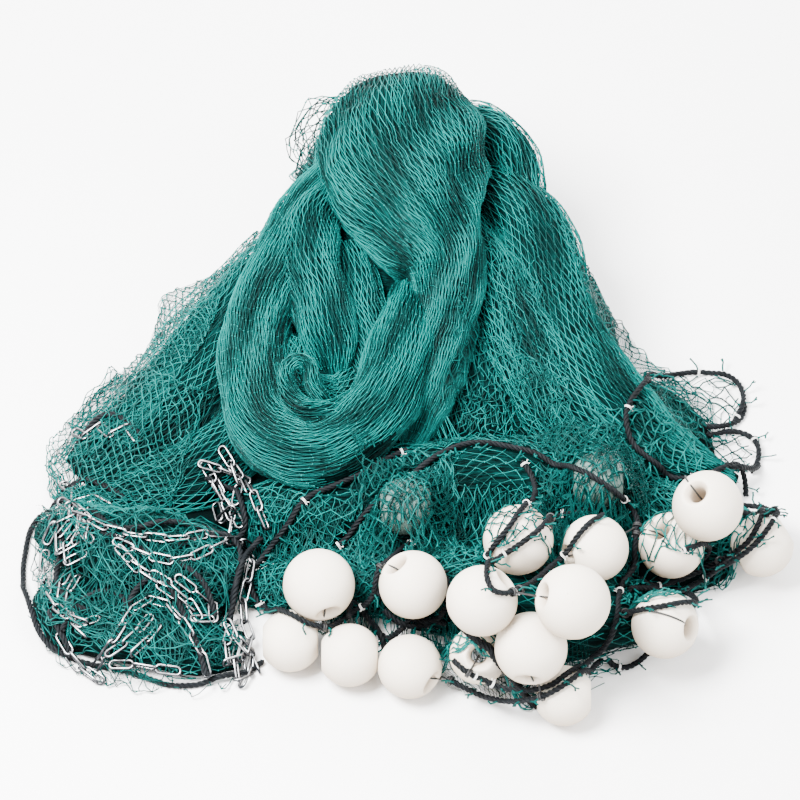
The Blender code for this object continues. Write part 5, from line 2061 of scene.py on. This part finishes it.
@dataclass
class TwistedRopes:
    """Three-strand ropes, laid along the heap's lines.

    Attributes:
        heap: The solids, which say where the ropes lie.
        pitch: The length of one turn of the strands.
        step: The distance between a strand's points.
        strand: A strand's radius, as a share of the rope's.
        spread: How far a strand's middle lies from the rope's, as a share of the rope's radius.
        uneven: How much that distance varies.
        sides: How many sides a strand's section has.
        loose: The diameter of the loose runs.
        raised: How far the middle of a loose run lies above the netting, as a share of its diameter.
    """

    heap: Heap
    pitch: float = 0.0175
    step: float = 0.0028
    strand: float = 0.47
    spread: float = 0.53
    uneven: float = 0.03
    sides: int = 5
    loose: float = 0.0072
    raised: float = 0.45

    def run(
        self, name: str, line: Array, width: float, finish: Material, nodes: Sequence[str]
    ) -> None:
        """Build one rope as three strands twisted together.

        Args:
            name: The rope's name.
            line: The points of its middle line.
            width: The rope's diameter.
            finish: Its fibre.
            nodes: The solids that it stands for.
        """
        points = spaced(line, self.step)
        _, across, over = travelling_frames(points)
        run = np.arange(len(points)) * self.step
        half = width / 2.0
        strands = Strands(name, half * self.strand, self.sides)
        for number in range(3):
            angle = run / self.pitch * math.tau + number * math.tau / 3.0
            reach = half * self.spread * (1.0 + self.uneven * np.sin(run * 210.0 + number))
            shift = across * (np.cos(angle) * reach)[:, None] + over * (np.sin(angle) * reach)[:, None]
            strands.add_line(points + shift, 0.5)
        strands.add_piece(finish, "black_rope", nodes)

    def build(self, runs: Sequence[Run], finish: Material) -> None:
        """Build every rope.

        Args:
            runs: Short runs that lie loose on the netting.
            finish: The ropes' fibre.
        """
        for line in self.heap.rope_lines:
            name = line.name.replace("_line_", "_rope_")
            self.run(name, line.points, line.width, finish, (line.name,))
        for loose in runs:
            above = self.loose * self.raised - loose.sunk
            points = self.heap.laid(from_table(loose.places), above, loose.over)
            self.run(f"lead_rope_{loose.name}", points, self.loose, finish, ())


@dataclass
class LeadChain:
    """Bright long-link chain along the heap's chain lines.

    Attributes:
        heap: The solids, which say where the chains lie.
        length: A link's length over all.
        width: A link's width over all.
        wire: The wire's diameter.
        pitch: The distance from link to link.
        lean: How far the first link leans from lying flat, in degrees.
        wobble: How far the links' leans differ, in degrees.
        raised: How far the middle of a loose run lies above the netting, as a share of a link's width.
        rested: How high the lowest wire lies over the floor.
        beside: How far the second run of a doubled one lies beside it.
    """

    heap: Heap
    length: float = 0.0292
    width: float = 0.0118
    wire: float = 0.0030
    pitch: float = 0.0230
    lean: float = 20.0
    wobble: float = 9.0
    raised: float = 0.42
    rested: float = 0.0003
    beside: tuple[float, float] = (0.009, -0.012)

    def link(self) -> BMesh:
        """Return one link, lying along X: two half rings joined by straight sides.

        Returns:
            The link's mesh.
        """
        bm = bmesh.new()
        bend = (self.width - self.wire) / 2.0
        reach = (self.length - self.width) / 2.0
        for sign in (1.0, -1.0):
            start = Vector((sign * reach, -bend * sign, 0.0))
            place = Matrix.Translation(start) @ Matrix.Rotation(math.pi / 2.0, 4, "Y")
            ring = bmesh.ops.create_circle(bm, segments=6, radius=self.wire / 2.0, matrix=place)["verts"]
            edges = once_each(edge for vert in ring for edge in vert.link_edges)
            middle = (sign * reach, 0.0, 0.0)
            bmesh.ops.spin(bm, geom=ring + edges, cent=middle, axis=UP, angle=math.pi, steps=6)
        open_edges = [edge for edge in bm.edges if edge.is_boundary]
        for sign in (1.0, -1.0):
            side = [edge for edge in open_edges if edge.is_valid and edge.verts[0].co.y * sign > 0.0]
            bmesh.ops.bridge_loops(bm, edges=side)
        bmesh.ops.recalc_face_normals(bm, faces=bm.faces)
        return bm

    def run(self, name: str, points: Array, finish: Material, nodes: Sequence[str]) -> None:
        """Build one run of chain, its links turned in turn.

        Args:
            name: The run's name.
            points: The points of its middle line.
            finish: The plating.
            nodes: The solids that it stands for.
        """
        luck = np.random.default_rng(sum(map(ord, name)))
        points = spaced(points, self.pitch)
        _, across, _ = travelling_frames(points)
        bm = bmesh.new()
        for number in range(len(points) - 1):
            middle = Vector((points[number] + points[number + 1]) / 2.0)
            forward = Vector(unit(points[number + 1] - points[number]))
            sideways = Vector(across[number])
            sideways = (sideways - forward * sideways.dot(forward)).normalized()
            turn = Matrix((forward, sideways, forward.cross(sideways))).transposed().to_4x4()
            roll = math.radians(self.lean + 90.0 * (number % 2) + luck.normal(0.0, self.wobble))
            before = set(bm.verts)
            bm.from_mesh(self.model)
            fresh = [vert for vert in bm.verts if vert not in before]
            place = Matrix.Translation(middle) @ turn @ Matrix.Rotation(roll, 4, "X")
            bmesh.ops.transform(bm, matrix=place, verts=fresh)
            low = min(vert.co.z for vert in fresh)
            if low < self.rested:
                bmesh.ops.translate(bm, vec=(0.0, 0.0, self.rested - low), verts=fresh)
        add_piece(name, smooth_mesh(name, bm), finish, nodes)

    def build(self, runs: Sequence[Run], finish: Material) -> None:
        """Build every run of chain.

        Args:
            runs: Short runs that lie loose on the netting.
            finish: The plating.
        """
        self.model = smooth_mesh("link", self.link())
        for line in self.heap.chain_lines:
            self.run(line.name.replace("lead_chain", "zinc_chain"), line.points, finish, (line.name,))
        for loose in runs:
            places = {"": from_table(loose.places)}
            if loose.doubled:
                places["_beside"] = from_table(loose.places[:-1], self.beside)
            for ending, flat in places.items():
                points = self.heap.laid(flat, self.width * self.raised - loose.sunk, loose.over)
                self.run(f"zinc_chain_{loose.name}{ending}", points, finish, ())
        bpy.data.meshes.remove(self.model)


ROPE_RUNS = (
    Run("loop_join", ((372, 177), (368, 160), (355, 146), (339, 137), (327, 134))),
    Run("small_loop_end", ((383, 92), (377, 77), (365, 64), (353, 57), (343, 59))),
    Run("side_loop", ((381, -3), (391, -4), (394, -15), (389, -30), (378, -43)), over=("float_07",)),
    Run("low_loop", (
        (42, -122), (45, -150), (52, -179), (66, -205), (89, -223), (118, -232), (151, -228), (180, -218),
    ), over=("float_04",)),
    Run("low_loop_inner", (
        (58, -166), (58, -187), (70, -207), (91, -220), (122, -228), (155, -223),
    ), over=("float_04",)),
    Run("middle_bundle", ((-36, -129), (-23, -142), (-7, -150), (12, -145), (29, -129), (42, -113))),
    Run("middle_bundle_low", ((-32, -121), (-17, -137), (2, -142), (21, -131), (35, -118))),
    Run("middle_join", ((-2, -138), (12, -150), (30, -156), (46, -150), (62, -158))),
    Run("middle_join_low", ((-6, -150), (12, -161), (30, -166), (46, -164))),
    Run("arch", (
        (-301, -175), (-294, -136), (-280, -109), (-260, -99), (-240, -125), (-222, -164), (-208, -206),
    ), sunk=0.002),
    Run("left_inner", (
        (-360, -157), (-343, -122), (-316, -107), (-294, -125), (-299, -162),
    ), sunk=0.002),
    Run("right_inner", (
        (-240, -64), (-214, -52), (-189, -44), (-175, -64), (-179, -104), (-186, -138),
    ), sunk=0.002),
    Run("middle", (
        (-340, -34), (-306, -52), (-271, -72), (-239, -85), (-213, -107), (-200, -136),
    ), sunk=0.002),
    Run("corner_upper", ((-367, 84), (-351, 109), (-328, 123), (-306, 113), (-285, 90)), sunk=0.004),
    Run("corner_lower", ((-374, 48), (-351, 53), (-324, 37), (-302, 18)), sunk=0.004),
    Run("left_side", ((-380, -10), (-364, -44), (-370, -83), (-355, -120), (-332, -136)), sunk=0.002),
)

CHAIN_RUNS = (
    Run("corner_top", (
        (-360, 118), (-344, 101), (-332, 112), (-316, 92), (-303, 104), (-289, 84),
    ), sunk=0.007, doubled=False),
    Run("corner_low", (
        (-372, 59), (-357, 42), (-364, 26), (-345, 18), (-328, 26), (-315, 11),
    ), sunk=0.007, doubled=False),
    Run("left_bunch", (
        (-370, 14), (-355, -6), (-359, -29), (-372, -46), (-364, -64), (-350, -53), (-342, -34),
    ), sunk=0.003),
    Run("left_fold_over", ((-357, 1), (-343, -17), (-346, -41), (-333, -54)), sunk=0.003),
    Run("left_run", ((-356, -72), (-365, -101), (-361, -133), (-343, -154), (-323, -146)), sunk=0.003),
    Run("low_left", ((-364, -154), (-349, -176), (-333, -190), (-317, -201))),
    Run("right_bunch", (
        (-184, -146), (-188, -170), (-182, -196), (-173, -177), (-170, -154), (-163, -176), (-172, -206),
    ), sunk=0.002),
    Run("top_run", ((-217, 45), (-206, 26), (-194, 7), (-185, -14), (-189, -37)), sunk=0.004),
    Run("top_short", ((-198, 59), (-186, 40), (-178, 18), (-182, -2)), sunk=0.004),
    Run("middle_run", (
        (-305, -64), (-290, -83), (-270, -96), (-251, -107), (-231, -121), (-216, -143),
    ), sunk=0.003),
    Run("middle_low", ((-268, -143), (-280, -162), (-294, -177), (-311, -189)), sunk=0.003),
)


# ---- ties, twine ends and lashings


@dataclass(frozen=True)
class RopePlace:
    """A place on a rope: the rope's name and the share of its length."""

    rope: str
    share: float


# Each white tie's float line and the share of its length, in the order in which they are tied.
FLOAT_TIES = (
    (1, 0.537), (1, 0.985), (2, 0.137), (2, 0.004), (4, 0.930), (1, 0.015), (4, 0.529), (7, 0.010),
    (8, 0.308), (7, 0.391), (9, 0.889), (8, 0.839), (2, 0.501), (7, 0.985), (2, 0.663), (8, 0.583),
    (2, 0.942), (2, 0.964), (16, 0.333), (10, 0.421), (10, 0.814), (10, 0.990), (11, 0.607),
    (10, 0.196), (12, 0.638), (12, 0.322), (13, 0.147), (14, 0.010),
)
TIES = tuple(RopePlace(f"float_line_{number}", share) for number, share in FLOAT_TIES) + (
    RopePlace("lead_line_1", 0.300), RopePlace("lead_line_2", 0.620),
)


class Mouth(Enum):
    """Which of a float's two mouths a lashing goes into."""

    FRONT = 1.0
    BACK = -1.0


@dataclass(frozen=True)
class Lashing:
    """Black twine that holds a float: from a mouth of its bore over its skin to a rope."""

    ball: str
    mouth: Mouth
    rope: RopePlace | None = None


LASHINGS = (
    Lashing("float_16", Mouth.FRONT, RopePlace("float_line_10", 0.196)),
    Lashing("float_06", Mouth.FRONT, RopePlace("float_line_15", 0.010)),
    Lashing("float_15", Mouth.FRONT, RopePlace("float_line_2", 0.555)),
    Lashing("float_13", Mouth.FRONT), Lashing("float_10", Mouth.FRONT), Lashing("float_07", Mouth.FRONT),
    Lashing("float_11", Mouth.BACK), Lashing("float_09", Mouth.FRONT), Lashing("float_12", Mouth.BACK),
    Lashing("float_03", Mouth.FRONT), Lashing("float_04", Mouth.FRONT), Lashing("float_14", Mouth.BACK),
    Lashing("float_08", Mouth.FRONT),
)


@dataclass
class Riggings:
    """Small work on the ropes: white ties, black lashings and cut ends of green twine.

    Attributes:
        heap: The solids, which say where the ropes and floats lie.
        tie: The radius of the white ties.
        lash: The radius of the black lashings.
        end: The radius of the cut ends.
        lip: How far round from the bore's line a lashing leaves the mouth, in radians.
        joined: How far from the rope's middle a lashing meets the rope.
        wound: The radius of the lashing's turns about the rope.
        end_pitch: The mean distance between cut ends.
        end_tone: How bright they are.
    """

    heap: Heap
    tie: float = 0.00060
    lash: float = 0.00105
    end: float = 0.00105
    lip: float = 0.46
    joined: float = 0.0046
    wound: float = 0.0044
    end_pitch: float = 0.026
    end_tone: float = 0.52

    def coil(
        self, point: Array, along: Array, half: float, pitch: float, turns: float = 2.0
    ) -> Array:
        """Return the points of twine wound round a rope.

        Args:
            point: The middle of the winding, on the rope's centre line.
            along: The rope's direction.
            half: The radius of the winding.
            pitch: How far apart the turns are.
            turns: How many turns it has.

        Returns:
            The points.
        """
        across = unit(np.cross(along, (0.0, 0.0, 1.0)))
        over = np.cross(across, along)
        angle = np.linspace(0.0, turns * math.tau, int(turns * 12) + 1)
        reach = across * np.cos(angle)[:, None] + over * np.sin(angle)[:, None]
        return point + reach * half + along * ((angle / math.tau - turns / 2.0) * pitch)[:, None]

    def ties(self, finish: Material) -> None:
        """Wind the white ties that hold the netting to its ropes.

        Args:
            finish: The ties' twine.
        """
        strands = Strands("white_ties", self.tie, 4)
        luck = np.random.default_rng(3)
        for place in TIES:
            line = self.heap.named(place.rope)
            point, along = line.place(place.share)
            wound = self.coil(point, along, line.width / 2.0 + self.tie * 0.4, self.tie * 2.2)
            for end in (wound[0], wound[-1]):
                out = unit(end - point + (0.0, 0.0, 0.002) + luck.normal(0.0, 0.0012, 3))
                wound_end = [end, end + out * 0.0012 + along * 0.0004, end + out * 0.0028]
                strands.add_line(np.array(wound_end), 0.5)
            strands.add_line(wound, 0.5)
        strands.add_piece(finish, "cream_foam", ())

    def lashings(self, finish: Material) -> None:
        """Lead black twine from each float's mouth to its rope.

        Args:
            finish: The lashings' twine.
        """
        strands = Strands("black_lashings", self.lash, 5)
        for lashing in LASHINGS:
            ball = self.heap.named(lashing.ball)
            radius = ball.diameter / 2.0
            out = unit(ball.axis) * lashing.mouth.value
            if lashing.rope:
                point, along = self.heap.named(lashing.rope.rope).place(lashing.rope.share)
            else:
                point, along = self.heap.rope_beside(ball.centre + out * (radius + 0.008))
            towards = point - ball.centre
            side = unit(towards - out * np.dot(towards, out))
            # From deep in the bore over the mouth's lip, then round the ball's skin and on to the rope.
            rim = unit(out * math.cos(self.lip) + side * math.sin(self.lip))
            goal = unit(towards)
            angle = math.acos(float(np.clip(np.dot(rim, goal), -1.0, 1.0)))
            path = [ball.centre + out * (radius - 0.020), ball.centre + out * (radius - 0.009) + side * 0.006]
            path.append(ball.centre + rim * (radius - 0.0004))
            for share in np.linspace(0.12, 1.0, max(2, int(angle / 0.16))):
                turned = math.sin((1.0 - share) * angle) * rim + math.sin(share * angle) * goal
                reach = radius + self.lash + 0.0012 * math.sin(share * math.pi)
                path.append(ball.centre + unit(turned) * reach)
            path.append(point + unit(ball.centre - point) * self.joined)
            strands.add_line(spaced(np.array(path), 0.0022), 0.5)
            strands.add_line(self.coil(point, along, self.wound, self.lash * 2.1), 0.5)
        strands.add_piece(finish, "black_rope", ())

    def twine_ends(self, finish: Material) -> None:
        """Leave short cut ends of green twine along the float line.

        Args:
            finish: The netting's twine.
        """
        strands = Strands("cut_twine_ends", self.end, 4)
        luck = np.random.default_rng(8)
        for line in self.heap.rope_lines:
            if line.name.startswith("lead"):
                continue
            length = np.linalg.norm(np.diff(line.points, axis=0), axis=1).sum()
            for share in np.arange(0.012, length, self.end_pitch) / length:
                point, along = line.place(float(np.clip(share + luck.normal(0.0, 0.01), 0.0, 1.0)))
                across = unit(np.cross(along, (0.0, 0.0, 1.0)))
                outer = across if np.dot(across, point * (1.0, 1.0, 0.0)) > 0.0 else -across
                lean = luck.uniform(-0.9, 0.9)
                lifted = (0.0, 0.0, luck.uniform(0.1, 0.9))
                out = unit(outer * math.cos(lean) + along * math.sin(lean) + lifted)
                start = point + out * line.width * 0.45
                size = luck.uniform(0.007, 0.012)
                fork = start + out * size + luck.normal(0.0, 0.0010, 3)
                lines = [[start, (start + fork) / 2.0 + luck.normal(0.0, 0.0008, 3), fork]]
                for _ in range(2):
                    tip = fork + unit(out + luck.normal(0.0, 0.75, 3)) * luck.uniform(0.003, 0.006)
                    lines.append([fork, tip])
                for points in lines:
                    points = np.array(points)
                    points[:, 2] = np.maximum(points[:, 2], self.end * 1.2)
                    strands.add_line(points, self.end_tone)
        strands.add_piece(finish, nodes=())


# ---- studio


@dataclass
class Studio:
    """A pale floor, soft light and a camera that looks down at the heap.

    Attributes:
        elevation: How far above the floor the camera stands, in degrees.
        distance: How far it is from its target.
        target: What it looks at.
        span: How much of the target's plane it sees.
        sensor: The sensor's width, in millimetres.
        floor: The floor's half width.
        glow: How strongly the surroundings shine.
        lights: Each light's name, place, size and power.
    """

    elevation: float = 50.0
    distance: float = 5.0
    target: tuple[float, float, float] = (-0.0044, 0.0481, 0.0)
    span: float = 0.88
    sensor: float = 36.0
    floor: float = 6.0
    glow: float = 1.9
    lights: tuple[tuple, ...] = (
        ("key", (-0.9, -0.5, 2.0), 1.0, 380.0),
        ("fill", (1.6, -1.0, 1.5), 1.8, 80.0),
        ("rim", (0.2, 1.7, 1.5), 1.4, 100.0),
    )

    def build(self) -> None:
        """Make the camera, the lights and the floor."""
        scene = bpy.context.scene
        rise = math.radians(self.elevation)
        camera = bpy.data.objects.new("camera", bpy.data.cameras.new("camera"))
        camera.data.sensor_width = self.sensor
        camera.data.lens = self.sensor * self.distance / self.span
        back = Vector((0.0, -math.cos(rise), math.sin(rise))) * self.distance
        camera.location = Vector(self.target) + back
        camera.rotation_euler = (math.pi / 2.0 - rise, 0.0, 0.0)
        scene.collection.objects.link(camera)
        scene.camera = camera
        for light in self.lights:
            self._light(*light)
        world = bpy.data.worlds.new("studio")
        world.use_nodes = True
        backdrop = world.node_tree.nodes["Background"].inputs
        backdrop["Color"].default_value = (1.0, 1.0, 1.0, 1.0)
        backdrop["Strength"].default_value = self.glow
        scene.world = world
        bm = bmesh.new()
        bmesh.ops.create_grid(bm, x_segments=2, y_segments=2, size=self.floor)
        mesh = bpy.data.meshes.new("floor")
        bm.to_mesh(mesh)
        bm.free()
        shown("floor", mesh, FloorFinish().make())

    def _light(self, name: str, place: tuple[float, float, float], size: float, power: float) -> None:
        """Hang one soft square light that faces the heap.

        Args:
            name: The light's name.
            place: Where it hangs.
            size: Its width.
            power: Its power in watts.
        """
        lamp = bpy.data.lights.new(name, "AREA")
        lamp.size = size
        lamp.energy = power
        obj = bpy.data.objects.new(name, lamp)
        obj.location = place
        aim = Vector((0.0, 0.0, 0.05)) - Vector(place)
        obj.rotation_euler = aim.to_track_quat("-Z", "Y").to_euler()
        bpy.context.scene.collection.objects.link(obj)


def add_netting(heap: Heap, twine: Material) -> None:
    """Add all the netting: packed, gathered, open and in sheets.

    Args:
        heap: The solids that it lies on.
        twine: The twine's finish.
    """
    netting = Netting(heap)
    skins = [FoldSkin(item) for item in FOLDS]
    bridging = [FoldSkin(item) for item in BRIDGES]
    netting.packed(skins + bridging, MOUNDS, PackedTwineFinish().make())
    for name, (thick, folds) in TWINE_PIECES.items():
        strands = Strands(name, netting.radius * thick, 3, netting.knot * thick)
        for skin in skins:
            if skin.fold.name in folds:
                netting.lines(skin, strands)
        strands.add_piece(twine)
    bridges = Strands("bridging_twine", netting.radius, 3, netting.knot)
    for skin in bridging:
        # Over a hollow the solid is far below, so lines show at a greater height.
        netting.lines(skin, bridges, reach=0.060)
    bridges.add_piece(twine)
    lining = Strands("lining_twine", netting.radius, 3, netting.knot)
    for item in LININGS:
        netting.lines(FoldSkin(item), lining, lining=True)
    lining.add_piece(twine)
    # The bars of an open net stand alone, so they are shown at their full thickness.
    for name, thick, plans in (("open_veils", 1.45, VEILS), ("loop_nets", 2.00, LOOP_NETS)):
        veils = Strands(name, netting.radius * thick, 3, netting.knot * thick * 0.90)
        for plan in plans:
            Veil(plan, heap).knit(veils)
        veils.add_piece(twine)
    gathered = SheetFinish().make()
    opened = SheetFinish("opened_sheet", (0.0110, 0.0170), 0.10).make()
    for plan in SHEETS:
        NetSheet(plan, heap).build(opened if plan.over else gathered)


def main() -> None:
    """Build every piece in order."""
    logging.basicConfig(level=logging.INFO, format="%(name)s %(message)s")
    Studio().build()
    heap = Heap()
    log.info("%d floats and %d lines", len(heap.balls), len(heap.lines))
    TwistedRopes(heap).build(ROPE_RUNS, RopeFinish().make())
    LeadChain(heap).build(CHAIN_RUNS, ZincFinish().make())
    # Painted shade: the floats deep in the netting take a darker, greener foam for the shadow of the netting
    # over them.
    shadowed = FoamFinish("stained_foam", (0.062, 0.112, 0.098), (0.046, 0.084, 0.074), (0.030, 0.056, 0.049))
    BallFloats(heap).build(FoamFinish().make(), shadowed.make())
    twine = TwineFinish().make()
    add_netting(heap, twine)
    riggings = Riggings(heap)
    riggings.ties(TieFinish("white_tie", (0.80, 0.80, 0.78)).make())
    riggings.lashings(TieFinish("black_lashing", (0.004, 0.0045, 0.005)).make())
    riggings.twine_ends(twine)


if __name__ == "__main__":
    main()
